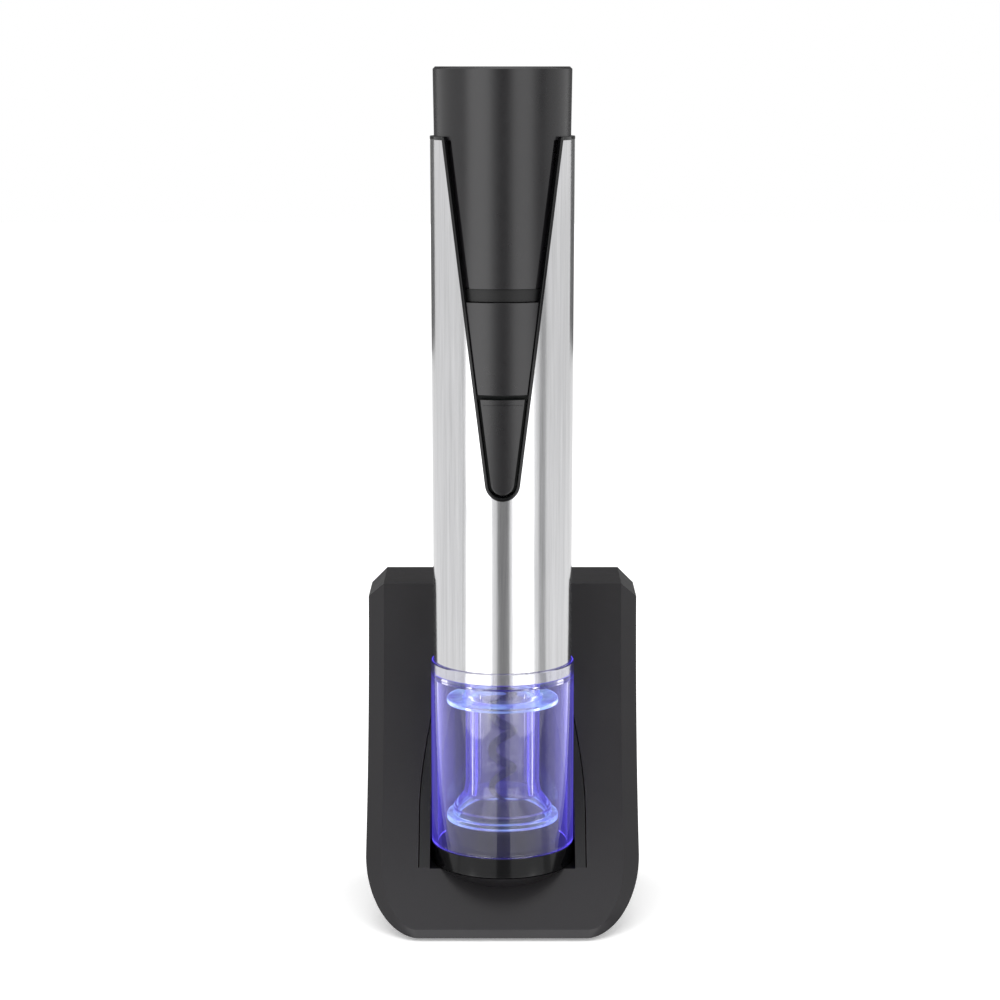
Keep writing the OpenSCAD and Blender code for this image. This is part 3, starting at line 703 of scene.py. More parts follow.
def base_rows():
    """Half of the base's front edge, from the foot up: outer x, y, z and inner x, y, z."""
    size = base_sizes()
    half, bevel, lip = size.half_width * 1000, size.side_bevel * 1000, size.foot_lip * 1000
    wide, tall = size.corner_width * 1000, size.corner_height * 1000
    mid_x, mid_z = half - wide, 1.0 + tall
    rows = []
    for k in range(25):
        a = math.radians(90 - 90 * k / 24)
        inner = (mid_x + (wide - bevel) * math.cos(a), mid_z - (tall - lip) * math.sin(a))
        depth = front_at(inner[1])
        rows.append((mid_x + wide * math.cos(a), depth + bevel * math.cos(a), mid_z - tall * math.sin(a),
                     inner[0], depth, inner[1]))
    steps = 40
    for k in range(1, steps + 1):
        z = mid_z + (BASE_TOP - bevel - mid_z) * k / steps
        rows.append((half, front_at(z) + bevel, z, half - bevel, front_at(z), z))
    for k in range(1, 5):
        z = BASE_TOP - bevel + bevel * k / 4
        out = half - bevel * k / 4
        rows.append((out, front_at(z) + out - half + bevel, z, half - bevel, front_at(z), z))
    return rows


def base_block():
    """The base's outside as one closed block."""
    rows = base_rows()
    points = []
    for side in (-1, 1):
        for ox, oy, oz, ix, iy, iz in rows:
            points += [(side * ox, oy, oz), (side * ix, iy, iz), (side * ox, BASE_BACK, oz)]
    n = len(rows)

    def at(side, row, part):
        return side * n * 3 + row * 3 + part

    faces = []
    for row in range(n - 1):
        for side in (0, 1):
            faces.append((at(side, row, 0), at(side, row, 1), at(side, row + 1, 1), at(side, row + 1, 0)))
            faces.append((at(side, row, 0), at(side, row + 1, 0), at(side, row + 1, 2), at(side, row, 2)))
        faces.append((at(0, row, 1), at(1, row, 1), at(1, row + 1, 1), at(0, row + 1, 1)))
        faces.append((at(0, row, 2), at(0, row + 1, 2), at(1, row + 1, 2), at(1, row, 2)))
    last = n - 1
    faces.append((at(0, 0, 0), at(0, 0, 1), at(1, 0, 1), at(1, 0, 0)))
    faces.append((at(0, 0, 0), at(1, 0, 0), at(1, 0, 2), at(0, 0, 2)))
    top = ((0, 0), (0, 1), (1, 1), (1, 0), (1, 2), (0, 2))
    faces.append(tuple(at(side, last, part) for side, part in top))
    return solid("base_shell_look", points, faces)


def front_space():
    """What lies in front of the hollow face."""
    heights = [-5.0, 4.0] + [4.0 + 112.0 * k / 60 for k in range(1, 61)]
    outline = [(front_at(z), z) for z in heights] + [(-80.0, 116.0), (-80.0, -5.0)]
    return extrude("front", outline, lambda p, k: (70.0 if k else -70.0, p[0], p[1]))


def inner_space():
    """The room inside the base's shell."""
    wall, low, high, half, back = 2.4, 3.4, 109.1, 38.7, 38.35
    heights = [low + (high - low) * k / 24 for k in range(25)]
    outline = [(max(BOW_Y + math.sqrt((FRONT_R + wall) ** 2 - (z - BOW_Z) ** 2), -38.0), z) for z in heights]
    outline += [(back, high), (back, low)]
    room = extrude("room", outline, lambda p, k: (half if k else -half, p[0], p[1]))
    under, over = low - 0.5, high + 3.0
    around = rounded([(-half, under), (half, under), (half, over), (-half, over)], 15.0, 8)
    carve(room, extrude("around", around, lambda p, k: (p[0], 50.0 if k else -50.0, p[1])), "INTERSECT")
    carve(room, cradle_prism(30.3, CRADLE_REACH, 15.0, CLEAR_OF_BASE))
    for x, y in SCREW_PLACES:
        carve(room, post("boss", x, y, 3.0, 3.3, 20.0))
    return room


def build_base_shell():
    size = base_sizes()
    made = base_block()
    carve(made, inner_space())
    rest = lathe("rest", [(0.0, 13.0), (14.36, 13.0), (24.35, 20.0), (0.0, 20.0)], 128)
    carve(rest, block("behind", (-40.0, -8.0, 0.0), (40.0, 40.0, 40.0)))
    carve(made, rest, "UNION")
    carve(made, cradle_prism(size.insert_radius * 1000 + 0.35, CRADLE_REACH, 16.9, CLEAR_OF_BASE))
    carve(made, cradle_prism(size.cradle_radius * 1000, 60.0, FLOOR_Z, CLEAR_OF_BASE))
    carve(made, block("cover", (-25.1, -33.85, -1.0), (25.1, 37.95, 4.3)))
    for x, y in SCREW_PLACES:
        carve(made, post("hole", x, y, 1.1, 0.0, 12.0))
    carve(made, rod("socket", 0.0, 16.0, 6.0, 35.75, 45.0, 64))
    carve(made, block("pins", (-10.1, 8.0, 93.9), (10.1, 22.0, 106.1)))
    soften(made, 0.3, 2, 28.0)
    finish_piece(made, "base", "graphite_plastic", ["base_shell"])
    made.data.materials[0] = base_plastic()
    return made


def build_cradle_insert():
    size = base_sizes()
    made = cradle_prism(size.insert_radius * 1000, CRADLE_REACH, 17.0, BASE_TOP)
    made.name = "cradle_insert_look"
    carve(made, front_space())
    carve(made, cradle_prism(size.cradle_radius * 1000, 60.0, FLOOR_Z, CLEAR_OF_BASE))
    for x in (-PIN_X, PIN_X):
        carve(made, rod("pin", x, PIN_Z, 1.3, 3.0, 23.0))
    soften(made, 0.15, 2, 28.0)
    return finish_piece(made, "base", "black_plastic", ["cradle_insert"])


# ---------------------------------------------------------------- opener


def sleeve_r(z):
    size = opener_sizes()
    low, high = size.sleeve_low * 1000, size.sleeve_high * 1000
    return low + (high - low) * (z - SLEEVE_FOOT) / (SHOULDER - SLEEVE_FOOT)


def build_steel_sleeve():
    low, high = sleeve_r(SLEEVE_FOOT), sleeve_r(SHOULDER)
    sheet = 0.6
    outline = rounded([(low - sheet, SLEEVE_FOOT), (low, SLEEVE_FOOT), (high, SHOULDER),
                       (high - sheet, SHOULDER)], 0.2)
    made = lathe("steel_sleeve_look", outline, TURN_STEPS)
    carve(made, vee_prism(0.0, SHOULDER + 4.0))
    carve(made, block("window", (-8.6, 5.0, 95.4), (8.6, 20.0, 104.6)))
    return finish_piece(made, "opener", "brushed_steel", ["steel_sleeve"])


def build_top_housing():
    size = opener_sizes()
    low, high = size.housing_low * 1000, size.housing_high * 1000
    wall, foot, cap_r, cap_z = 1.8, 217.0, 21.6, 285.0
    outline = [(low - wall, foot), (low, foot), (low, SHOULDER), (high, OPENER_TOP - 0.8),
               (high - 0.8, OPENER_TOP), (cap_r, OPENER_TOP), (cap_r, cap_z), (high - wall, cap_z),
               (low - wall, SHOULDER)]
    made = lathe("top_housing_look", outline, TURN_STEPS)
    groove = lathe("groove", [(21.4, foot - 1.0), (25.0, foot - 1.0), (25.0, SHOULDER), (21.4, SHOULDER)],
                   TURN_STEPS)
    carve(groove, vee_prism(0.8, SHOULDER + 2.0), "INTERSECT")
    carve(groove, vee_prism(3.0, SHOULDER + 4.0, 210.0))
    carve(made, groove)
    soften(made, size.edge * 1000, 2, 30.0)
    return finish_piece(made, "opener", "graphite_plastic", ["top_housing"])


def build_top_cap():
    outline = rounded([(18.6, 281.2), (20.6, 281.2), (20.6, 285.1), (21.5, 285.1), (21.5, OPENER_TOP - 0.6),
                       (20.9, OPENER_TOP), (0.0, OPENER_TOP), (0.0, 285.1), (18.6, 285.1)], 0.15)
    made = lathe("top_cap_look", outline, 160)
    return finish_piece(made, "opener", "graphite_plastic", ["top_cap"])


def sweep(name, places, section):
    """Carries a closed section along places, each a point with its outward and sideways directions."""
    points = []
    for where, out, side in places:
        points += [where + side * a + out * b for a, b in section]
    n, rows = len(section), len(places)
    faces = [(row * n + k, row * n + (k + 1) % n, (row + 1) * n + (k + 1) % n, (row + 1) * n + k)
             for row in range(rows - 1) for k in range(n)]
    faces += [tuple(range(n)), tuple(range((rows - 1) * n, rows * n))]
    return solid(name, points, faces)


def build_vee_trim():
    line = vee_outline(0.5, SHOULDER + 0.9)
    dense = []
    for (x0, z0), (x1, z1) in zip(line, line[1:]):
        steps = max(1, round(math.hypot(x1 - x0, z1 - z0) / 2.0))
        dense += [(x0 + (x1 - x0) * k / steps, z0 + (z1 - z0) * k / steps) for k in range(steps)]
    dense.append(line[-1])
    places = []
    for i, (x, z) in enumerate(dense):
        r = sleeve_r(min(z, SHOULDER))
        a = math.asin(x / r)
        out = Vector((math.sin(a), -math.cos(a), 0.0))
        before, after = dense[max(i - 1, 0)], dense[min(i + 1, len(dense) - 1)]
        along = Vector((after[0] - before[0], 0.0, after[1] - before[1]))
        along.y = -along.x * math.tan(a) if abs(along.x) > 1e-9 else 0.0
        side = along.normalized().cross(out).normalized()
        places.append((Vector((r * math.sin(a), AXIS_Y - r * math.cos(a), z)), out, side))
    section = rounded([(-0.5, -1.2), (0.5, -1.2), (0.5, 0.15), (-0.5, 0.15)], 0.22, 4)
    made = sweep("vee_trim_look", places, section)
    opening = math.asin(abs(dense[0][0]) / sleeve_r(SHOULDER))
    ring = []
    for k in range(241):
        a = opening + (2 * math.pi - 2 * opening) * k / 240
        out = Vector((math.sin(a), -math.cos(a), 0.0))
        ring.append((Vector((0.0, AXIS_Y, SHOULDER + 0.55)) + out * 23.25, out, Vector((0, 0, 1))))
    band = sweep("band", ring, rounded([(-0.55, -0.65), (0.55, -0.65), (0.55, 0.6), (-0.55, 0.6)], 0.2, 4))
    carve(made, band, "UNION")
    return finish_piece(made, "opener", "gloss_black", ["vee_trim"])


def button_shell(name, inset, low, high, round_foot):
    made = lathe(name, [(21.5, low), (23.0, low), (23.0, high), (21.5, high)], TURN_STEPS)
    carve(made, vee_prism(inset, high + 4.0, None if round_foot else low - 4.0), "INTERSECT")
    return made


def build_buttons():
    size = opener_sizes()
    release = button_shell("release_button_look", 1.3, 182.5, 212.6, False)
    soften(release, size.edge * 1000 * 1.5, 3, 30.0)
    carve(release, block("stem", (-3.0, -33.8, 194.0), (3.0, -33.35, 200.0)), "UNION")
    finish_piece(release, "release_button", "graphite_plastic", ["release_button"])
    drive = lathe("drive_button_look", [(21.5, 148.7), (22.6, 148.7), (22.6, 181.0), (21.5, 181.0)],
                  TURN_STEPS)
    carve(drive, vee_prism(2.0, 185.0), "INTERSECT")
    carve(drive, button_shell("face", 2.45, 148.9, 179.2, True), "UNION")
    slope = extrude("slope", [(-45.0, 183.5), (-34.6, 183.5), (-34.6, 181.0), (-35.7, 178.6), (-45.0, 178.6)],
                    lambda p, k: (14.0 if k else -14.0, p[0], p[1]))
    carve(drive, slope)
    soften(drive, size.edge * 1000 * 1.5, 3, 30.0)
    finish_piece(drive, "drive_button", "graphite_plastic", ["drive_button"])


def build_clear_sleeve():
    r = opener_sizes().clear_radius * 1000
    outline = rounded([
        (22.2, 26.9), (r - 0.3, 26.9), (r, 27.3), (r, 89.7), (r - 0.3, 90.0), (23.4, 90.0),
        (23.4, 85.9), (20.2, 85.9), (20.2, 91.0), (18.8, 91.0), (18.8, 84.0), (22.2, 84.0)], 0.18)
    made = lathe("clear_sleeve_look", outline, 256)
    return finish_piece(made, "opener", "clear_plastic", ["clear_sleeve"])


def build_cork_guide():
    outline = rounded([(15.1, 35.0), (18.9, 35.0), (18.9, 37.0), (16.7, 37.0), (16.7, 39.5), (13.1, 44.0),
                       (12.5, 48.0), (12.5, 74.6), (13.5, 75.6), (18.9, 75.6), (18.9, 77.2), (13.1, 77.4),
                       (12.7, 78.6), (12.7, 90.0), (11.2, 90.0), (11.0, 75.6), (11.0, 48.0), (11.8, 44.0),
                       (15.1, 38.4)], 0.3)
    made = lathe("cork_guide_look", outline, 192)
    for k in range(4):
        a = math.radians(45 + 90 * k)
        out, side = (math.sin(a), -math.cos(a)), (math.cos(a), math.sin(a))
        corners = rounded([(-0.6, 11.9), (0.6, 11.9), (0.6, 13.9), (-0.6, 13.9)], 0.25)
        turned = [(side[0] * s + out[0] * r, AXIS_Y + side[1] * s + out[1] * r) for s, r in corners]
        carve(made, extrude("rib", turned, lambda p, j: (p[0], p[1], 76.1 if j else 45.0)), "UNION")
    finish_piece(made, "opener", "clear_plastic", ["cork_guide"])
    made.data.materials[0] = guide_plastic()
    return made


def geometry_tree(name, inputs):
    tree = bpy.data.node_groups.new(name, "GeometryNodeTree")
    for label, kind, value in inputs:
        made = tree.interface.new_socket(name=label, in_out="INPUT", socket_type=kind)
        if value is not None:
            made.default_value = value
    tree.interface.new_socket(name="Geometry", in_out="OUTPUT", socket_type="NodeSocketGeometry")
    return tree, add(tree, "NodeGroupInput"), add(tree, "NodeGroupOutput")


def close_tree(tree, start, shape, end, finish):
    """Puts the shape on every point and ends the tree in real meshes with their finish."""
    spread = add(tree, "GeometryNodeInstanceOnPoints")
    tree.links.new(start.outputs["Geometry"], spread.inputs["Points"])
    tree.links.new(shape, spread.inputs["Instance"])
    real = add(tree, "GeometryNodeRealizeInstances")
    coat = add(tree, "GeometryNodeSetMaterial")
    coat.inputs["Material"].default_value = finish
    tree.links.new(spread.outputs["Instances"], real.inputs[0])
    tree.links.new(real.outputs[0], coat.inputs["Geometry"])
    tree.links.new(coat.outputs[0], end.inputs["Geometry"])


def grow(name, tree, points, values):
    """Runs a tree on points, in millimetres, and keeps the plain mesh."""
    mesh = bpy.data.meshes.new(name)
    mesh.from_pydata([Vector(p) / 1000 for p in points], [], [])
    made = bpy.data.objects.new(name, mesh)
    bpy.context.scene.collection.objects.link(made)
    step = made.modifiers.new("Grow", "NODES")
    step.node_group = tree
    for item in tree.interface.items_tree:
        if item.in_out == "INPUT" and item.name in values:
            step[item.identifier] = values[item.name]
    plain_mesh(made)
    clean(made.data, 35.0)
    return made


def helix_tree(name, finish, turn):
    """A round wire wound upwards from each point, thin at its foot, then turned."""
    value, metres = "NodeSocketFloat", "NodeSocketFloat"
    tree, start, end = geometry_tree(
        name,
        [("Geometry", "NodeSocketGeometry", None), ("Turns", value, 3.3), ("Coil Radius", metres, 0.0036),
         ("Wire Radius", metres, 0.0014), ("Height", metres, 0.043), ("Tip Share", value, 0.2),
         ("Tip Width", value, 0.12), ("Sides", "NodeSocketInt", 20)],
    )
    spiral = add(tree, "GeometryNodeCurveSpiral")
    spiral.inputs["Resolution"].default_value = 64
    tree.links.new(start.outputs["Turns"], spiral.inputs["Rotations"])
    tree.links.new(start.outputs["Coil Radius"], spiral.inputs["Start Radius"])
    tree.links.new(start.outputs["Coil Radius"], spiral.inputs["End Radius"])
    tree.links.new(start.outputs["Height"], spiral.inputs["Height"])
    factor = add(tree, "GeometryNodeSplineParameter")
    taper = remap(tree, factor.outputs["Factor"], 0.0, start.outputs["Tip Share"],
                  start.outputs["Tip Width"], 1.0)
    sized = add(tree, "GeometryNodeSetCurveRadius")
    tree.links.new(spiral.outputs["Curve"], sized.inputs["Curve"])
    tree.links.new(sum_up(tree, "MULTIPLY", taper, start.outputs["Wire Radius"]), sized.inputs["Radius"])
    wire = add(tree, "GeometryNodeCurvePrimitiveCircle")
    tree.links.new(start.outputs["Sides"], wire.inputs["Resolution"])
    wire.inputs["Radius"].default_value = 1.0
    tube = add(tree, "GeometryNodeCurveToMesh")
    tree.links.new(sized.outputs["Curve"], tube.inputs["Curve"])
    tree.links.new(wire.outputs["Curve"], tube.inputs["Profile Curve"])
    tube.inputs["Fill Caps"].default_value = True
    widths = add(tree, "GeometryNodeInputRadius")
    tree.links.new(widths.outputs[0], tube.inputs["Scale"])
    turned = add(tree, "GeometryNodeTransform")
    turned.inputs["Rotation"].default_value = turn
    tree.links.new(tube.outputs["Mesh"], turned.inputs["Geometry"])
    close_tree(tree, start, turned.outputs["Geometry"], end, finish)
    return tree


def build_worm():
    size = opener_sizes()
    low, high = 39.0, 82.0
    tree = helix_tree("Worm Helix", worm_coat(), (0.0, 0.0, 0.0))
    made = grow("worm_look", tree, [(0, AXIS_Y, low)],
                {"Turns": (high - low) / 1000 / size.worm_pitch, "Coil Radius": size.worm_coil,
                 "Wire Radius": size.worm_wire, "Height": (high - low) / 1000, "Tip Share": 0.22})
    return finish_piece(made, "output", "worm_coat", ["worm"])


def build_pin_springs():
    """The spring behind each contact pin; the real one shortens as the pin is pushed in, while this mesh
    keeps one length.
    """
    front, back, wire = 19.2, 25.1, 0.2
    tree = helix_tree("Spring Helix", plain_steel(), (-math.pi / 2, 0.0, 0.0))
    for side, x in (("left", -PIN_X), ("right", PIN_X)):
        made = grow(f"spring_look_{side}", tree, [(x, front, PIN_Z)],
                    {"Turns": 6.0, "Coil Radius": 0.00175, "Wire Radius": wire / 1000, "Tip Width": 1.0,
                     "Height": (back - wire - front) / 1000, "Sides": 8})
        finish_piece(made, "base", "plain_steel", [f"pin_spring_{side}"])
        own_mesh(made)


def post_tree(name, finish):
    """Two stacked round stubs at each point, the first with a slot across it."""
    metres = "NodeSocketFloat"
    tree, start, end = geometry_tree(
        name,
        [("Geometry", "NodeSocketGeometry", None), ("Head Radius", metres, 0.0024),
         ("Head Height", metres, 0.00075), ("Shank Radius", metres, 0.001),
         ("Shank Height", metres, 0.009), ("Slot Width", metres, 0.0006)],
    )

    def stub(radius, height, lift):
        made = add(tree, "GeometryNodeMeshCylinder")
        made.inputs["Vertices"].default_value = 48
        tree.links.new(radius, made.inputs["Radius"])
        tree.links.new(height, made.inputs["Depth"])
        middle = sum_up(tree, "ADD", sum_up(tree, "MULTIPLY", height, 0.5), lift)
        where = add(tree, "ShaderNodeCombineXYZ")
        tree.links.new(middle, where.inputs["Z"])
        moved = add(tree, "GeometryNodeTransform")
        tree.links.new(made.outputs["Mesh"], moved.inputs["Geometry"])
        tree.links.new(where.outputs[0], moved.inputs["Translation"])
        return moved.outputs["Geometry"]

    head = stub(start.outputs["Head Radius"], start.outputs["Head Height"], 0.0)
    shank = stub(start.outputs["Shank Radius"], start.outputs["Shank Height"], start.outputs["Head Height"])
    slot = add(tree, "GeometryNodeMeshCube")
    size = add(tree, "ShaderNodeCombineXYZ")
    tree.links.new(sum_up(tree, "MULTIPLY", start.outputs["Head Radius"], 1.4), size.inputs["X"])
    tree.links.new(start.outputs["Slot Width"], size.inputs["Y"])
    tree.links.new(start.outputs["Head Height"], size.inputs["Z"])
    tree.links.new(size.outputs[0], slot.inputs["Size"])
    cut = add(tree, "GeometryNodeMeshBoolean", operation="DIFFERENCE")
    tree.links.new(head, cut.inputs[0])
    tree.links.new(slot.outputs["Mesh"], cut.inputs[1])
    join = add(tree, "GeometryNodeJoinGeometry")
    tree.links.new(cut.outputs["Mesh"], join.inputs[0])
    tree.links.new(shank, join.inputs[0])
    close_tree(tree, start, join.outputs[0], end, finish)
    return tree


def build_base_screws():
    tree = post_tree("Slotted Screws", plain_steel())
    made = grow("base_screws_look", tree, [(x, y, 1.2) for x, y in SCREW_PLACES], {})
    return finish_piece(made, "base", "plain_steel", ["base_screws"])


def lens_tree(finish):
    """A domed lens hanging under each point."""
    metres = "NodeSocketFloat"
    tree, start, end = geometry_tree(
        "Lamp Lenses",
        [("Geometry", "NodeSocketGeometry", None), ("Lens Radius", metres, 0.0015),
         ("Lens Length", metres, 0.0025)],
    )
    dome = add(tree, "GeometryNodeMeshUVSphere")
    dome.inputs["Segments"].default_value = 24
    dome.inputs["Rings"].default_value = 16
    tree.links.new(start.outputs["Lens Radius"], dome.inputs["Radius"])
    body = add(tree, "GeometryNodeMeshCylinder")
    body.inputs["Vertices"].default_value = 24
    tree.links.new(start.outputs["Lens Radius"], body.inputs["Radius"])
    tree.links.new(start.outputs["Lens Length"], body.inputs["Depth"])
    where = add(tree, "ShaderNodeCombineXYZ")
    tree.links.new(sum_up(tree, "MULTIPLY", start.outputs["Lens Length"], 0.5), where.inputs["Z"])
    moved = add(tree, "GeometryNodeTransform")
    tree.links.new(body.outputs["Mesh"], moved.inputs["Geometry"])
    tree.links.new(where.outputs[0], moved.inputs["Translation"])
    both = add(tree, "GeometryNodeMeshBoolean", operation="UNION")
    tree.links.new(dome.outputs["Mesh"], both.inputs[1])
    tree.links.new(moved.outputs["Geometry"], both.inputs[1])
    close_tree(tree, start, both.outputs["Mesh"], end, finish)
    return tree


def build_leds():
    ring_r, lamp_z = 15.4, 87.6
    angles = [math.radians(45 + 90 * k) for k in range(4)]
    places = [(ring_r * math.cos(a), AXIS_Y + ring_r * math.sin(a), lamp_z) for a in angles]
    made = grow("leds_look", lens_tree(led()), places, {"Lens Length": 0.00245})
    return finish_piece(made, "opener", "led", ["leds"])


def build_cutter_ring():
    outline = rounded([
        (22.5, 20.0), (23.85, 20.0), (24.15, 20.4), (24.15, 26.8), (19.3, 26.8), (19.3, 34.0),
        (18.6, 34.7), (16.6, 34.7), (16.6, 32.6), (15.6, 32.6), (15.6, 24.6), (22.5, 24.6)], 0.25)
    made = lathe("cutter_body_look", outline, 256)
    return finish_piece(made, "foil_cutter", "gloss_black", ["cutter_body"])


def dress_inner_parts():
    """Every part still shown as built gets its finish."""
    finishes = {row["node"]: row["material_slot"] for row in frame["record"]["subparts"]}
    for name, made in frame["nodes"].items():
        if made.hide_render:
            continue
        made.data.materials.clear()
        made.data.materials.append(FINISH_MAKERS[finishes[name]]())


# ---------------------------------------------------------------- studio


def card_cloth(name, brightness):
    """A card's finish: a little cloth texture and its own brightness."""

    def build(title):
        made, tree, shader, place = new_finish(title)
        group = use_group(tree, moulded_grain(), place,
                          {"Color": (0.02, 0.02, 0.02, 1.0), "Roughness": 0.9, "Spread": 0.05, "Grain": 0.5})
        tree.links.new(group.outputs["Color"], shader.inputs["Base Color"])
        shader.inputs["Emission Color"].default_value = (1.0, 1.0, 1.0, 1.0)
        shader.inputs["Emission Strength"].default_value = brightness
        return made

    return made_once(name, build)


def only_reflected(card):
    card.visible_camera = False
    card.visible_diffuse = False
    card.visible_shadow = False


def fan_card(name, start, stop, brightness, near=45.0, low=0.3):
    """A card seen only in reflections: a wedge on the floor that rises into a wall."""
    top = 1900.0
    points = []
    for azimuth in (start, stop):
        a = math.radians(azimuth)
        for reach, z in ((near, low), (CARD_REACH, low), (CARD_REACH, top)):
            points.append((reach * math.sin(a), AXIS_Y - reach * math.cos(a), z))
    made = solid(name, points, [(0, 1, 4, 3), (1, 2, 5, 4)] if near < CARD_REACH else [(1, 2, 5, 4)])
    made.data.materials.append(card_cloth(name + "_cloth", brightness))
    only_reflected(made)


def build_studio():
    studio = bpy.context.scene.wine_opener_studio
    scene = bpy.context.scene
    scene.view_settings.view_transform = "Standard"
    world = bpy.data.worlds.new("surround")
    world.use_nodes = True
    world.node_tree.nodes["Background"].inputs["Color"].default_value = (1.0, 1.0, 1.0, 1.0)
    world.node_tree.nodes["Background"].inputs["Strength"].default_value = studio.sky
    scene.world = world
    reach, level = 4000, -0.05
    floor = solid("floor", [(-reach, -reach, level), (reach, -reach, level), (reach, reach, level),
                            (-reach, reach, level)], [(0, 1, 2, 3)])
    paper, tree, shader, _ = new_finish("studio_paper")
    shader.inputs["Base Color"].default_value = (0.93, 0.93, 0.93, 1.0)
    shader.inputs["Roughness"].default_value = 0.9
    shader.inputs["Specular IOR Level"].default_value = 0.1
    seen = add(tree, "ShaderNodeLightPath").outputs["Is Camera Ray"]
    tree.links.new(sum_up(tree, "MULTIPLY", seen, 0.3), shader.inputs["Emission Strength"])
    shader.inputs["Emission Color"].default_value = (1.0, 1.0, 1.0, 1.0)
    floor.data.materials.append(paper)
    for name, start, stop, near, brightness in (
        ("left_light_card", -60.0, -18.5, 300.0, studio.left_lamp),
        ("middle_dark_card", -8.5, 11.5, 45.0, 0.2),
        ("right_light_card", 16.5, 52.0, 300.0, studio.right_lamp),
        ("left_dark_strip", -70.0, -64.0, 45.0, 0.7),
        ("right_dark_strip", 62.0, 75.0, 45.0, 0.42),
    ):
        fan_card(name, start, stop, brightness, near)
    half, near, far, level = 60, -75, -42, 0.2
    strip = solid("foot_light_card", [(-half, near, level), (half, near, level), (half, far, level),
                                      (-half, far, level)], [(0, 1, 2, 3)])
    strip.data.materials.append(card_cloth("foot_light_card_cloth", 3.6))
    only_reflected(strip)
    fan_card("back_dark_wall_left", 140.0, 180.0, 0.1, CARD_REACH, 40.0)
    fan_card("back_dark_wall_right", 180.0, 220.0, 0.1, CARD_REACH, 40.0)
    data = bpy.data.lights.new("top_lamp", "AREA")
    data.shape = "RECTANGLE"
    data.size, data.size_y = 1.2, 0.9
    data.energy = 4.0
    lamp = bpy.data.objects.new("top_lamp", data)
    lamp.location = (0.0, -0.25, 1.4)
    lamp.visible_camera = False
    scene.collection.objects.link(lamp)


def build_camera():
    scene = bpy.context.scene
    data = bpy.data.cameras.new("camera")
    data.sensor_width = 36.0
    data.lens = scene.wine_opener_studio.lens
    data.shift_x = -0.0025
    data.clip_start = 0.05
    data.clip_end = 20.0
    camera = bpy.data.objects.new("camera", data)
    camera.location = (0.0, -0.879, 0.288)
    camera.rotation_euler = (math.radians(80.6), 0.0, 0.0)
    scene.collection.objects.link(camera)
    scene.camera = camera


# ---------------------------------------------------------------- operators


class OPENER_OT_base_shell(bpy.types.Operator):
    """Build the charging base's shell with its hollow front"""

    bl_idname = "wine_opener.base_shell"
    bl_label = "Base Shell"

    def execute(self, context):
        build_base_shell()
        return {"FINISHED"}


class OPENER_OT_cradle_insert(bpy.types.Operator):
    """Build the insert that lines the base's cradle"""

    bl_idname = "wine_opener.cradle_insert"
    bl_label = "Cradle Insert"

    def execute(self, context):
        build_cradle_insert()
        return {"FINISHED"}


class OPENER_OT_base_screws(bpy.types.Operator):
    """Set the slotted screws under the base"""

    bl_idname = "wine_opener.base_screws"
    bl_label = "Base Screws"

    def execute(self, context):
        build_base_screws()
        return {"FINISHED"}


class OPENER_OT_steel_sleeve(bpy.types.Operator):
    """Build the brushed steel sleeve with its vee"""

    bl_idname = "wine_opener.steel_sleeve"
    bl_label = "Steel Sleeve"

    def execute(self, context):
        build_steel_sleeve()
        return {"FINISHED"}


class OPENER_OT_housing(bpy.types.Operator):
    """Build the black top housing and its cap"""

    bl_idname = "wine_opener.housing"
    bl_label = "Top Housing and Cap"

    def execute(self, context):
        build_top_housing()
        build_top_cap()
        return {"FINISHED"}


class OPENER_OT_vee_trim(bpy.types.Operator):
    """Build the gloss trim round the vee and the shoulder"""

    bl_idname = "wine_opener.vee_trim"
    bl_label = "Vee Trim"

    def execute(self, context):
        build_vee_trim()
        return {"FINISHED"}


class OPENER_OT_buttons(bpy.types.Operator):
    """Build the release and drive buttons"""

    bl_idname = "wine_opener.buttons"
    bl_label = "Buttons"

    def execute(self, context):
        build_buttons()
        return {"FINISHED"}


class OPENER_OT_clear_sleeve(bpy.types.Operator):
    """Build the clear sleeve round the cork chamber"""

    bl_idname = "wine_opener.clear_sleeve"
    bl_label = "Clear Sleeve"

    def execute(self, context):
        build_clear_sleeve()
        return {"FINISHED"}


class OPENER_OT_cork_guide(bpy.types.Operator):
    """Build the clear cork guide with its ribs"""

    bl_idname = "wine_opener.cork_guide"
    bl_label = "Cork Guide"

    def execute(self, context):
        build_cork_guide()
        return {"FINISHED"}


class OPENER_OT_worm(bpy.types.Operator):
    """Wind the worm"""

    bl_idname = "wine_opener.worm"
    bl_label = "Worm"

    def execute(self, context):
        build_worm()
        return {"FINISHED"}


class OPENER_OT_pin_springs(bpy.types.Operator):
    """Wind the springs behind the contact pins"""

    bl_idname = "wine_opener.pin_springs"
    bl_label = "Contact Springs"

    def execute(self, context):
        build_pin_springs()
        return {"FINISHED"}


class OPENER_OT_leds(bpy.types.Operator):
    """Set the blue lamps over the chamber"""

    bl_idname = "wine_opener.leds"
    bl_label = "Chamber Lamps"

    def execute(self, context):
        build_leds()
        return {"FINISHED"}


class OPENER_OT_cutter_ring(bpy.types.Operator):
    """Build the foil cutter's ring"""

    bl_idname = "wine_opener.cutter_ring"
    bl_label = "Cutter Ring"

    def execute(self, context):
        build_cutter_ring()
        return {"FINISHED"}


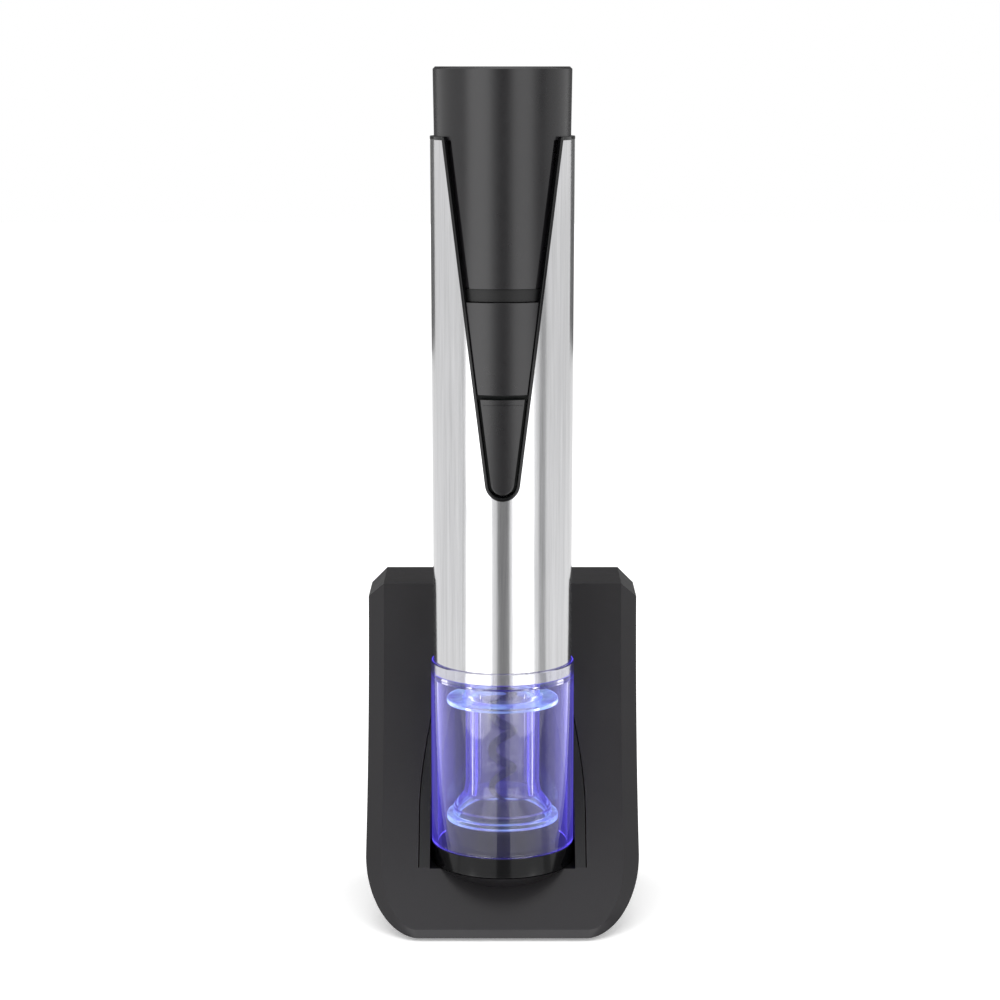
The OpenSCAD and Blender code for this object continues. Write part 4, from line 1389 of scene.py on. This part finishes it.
class OPENER_OT_inner_parts(bpy.types.Operator):
    """Give the parts inside their finishes"""

    bl_idname = "wine_opener.inner_parts"
    bl_label = "Inner Parts"

    def execute(self, context):
        dress_inner_parts()
        return {"FINISHED"}


class OPENER_OT_studio(bpy.types.Operator):
    """Set up the pale floor, the soft lamps and the camera"""

    bl_idname = "wine_opener.studio"
    bl_label = "Studio"

    def execute(self, context):
        build_studio()
        build_camera()
        return {"FINISHED"}


OPERATORS = (
    OPENER_OT_base_shell, OPENER_OT_cradle_insert, OPENER_OT_base_screws, OPENER_OT_steel_sleeve,
    OPENER_OT_housing, OPENER_OT_vee_trim, OPENER_OT_buttons, OPENER_OT_clear_sleeve, OPENER_OT_cork_guide,
    OPENER_OT_worm, OPENER_OT_pin_springs, OPENER_OT_leds, OPENER_OT_cutter_ring, OPENER_OT_inner_parts,
    OPENER_OT_studio,
)


class OPENER_PT_panel(bpy.types.Panel):
    """Lists the opener's pieces"""

    bl_idname = "OPENER_PT_panel"
    bl_label = "Wine Opener"
    bl_space_type = "VIEW_3D"
    bl_region_type = "UI"
    bl_category = "Wine Opener"

    def draw(self, context):
        for kind in OPERATORS:
            self.layout.operator(kind.bl_idname)


CLASSES = (OpenerSizes, BaseSizes, Finishes, StudioSettings) + OPERATORS + (OPENER_PT_panel,)


def register():
    for kind in CLASSES:
        bpy.utils.register_class(kind)
    bpy.types.Scene.wine_opener_sizes = PointerProperty(type=OpenerSizes)
    bpy.types.Scene.wine_opener_base = PointerProperty(type=BaseSizes)
    bpy.types.Scene.wine_opener_finishes = PointerProperty(type=Finishes)
    bpy.types.Scene.wine_opener_studio = PointerProperty(type=StudioSettings)


def unregister():
    del bpy.types.Scene.wine_opener_studio
    del bpy.types.Scene.wine_opener_finishes
    del bpy.types.Scene.wine_opener_base
    del bpy.types.Scene.wine_opener_sizes
    for kind in reversed(CLASSES):
        bpy.utils.unregister_class(kind)


def main():
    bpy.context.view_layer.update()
    register()
    for kind in OPERATORS:
        getattr(bpy.ops.wine_opener, kind.bl_idname.split(".")[1])()


if __name__ == "__main__":
    main()
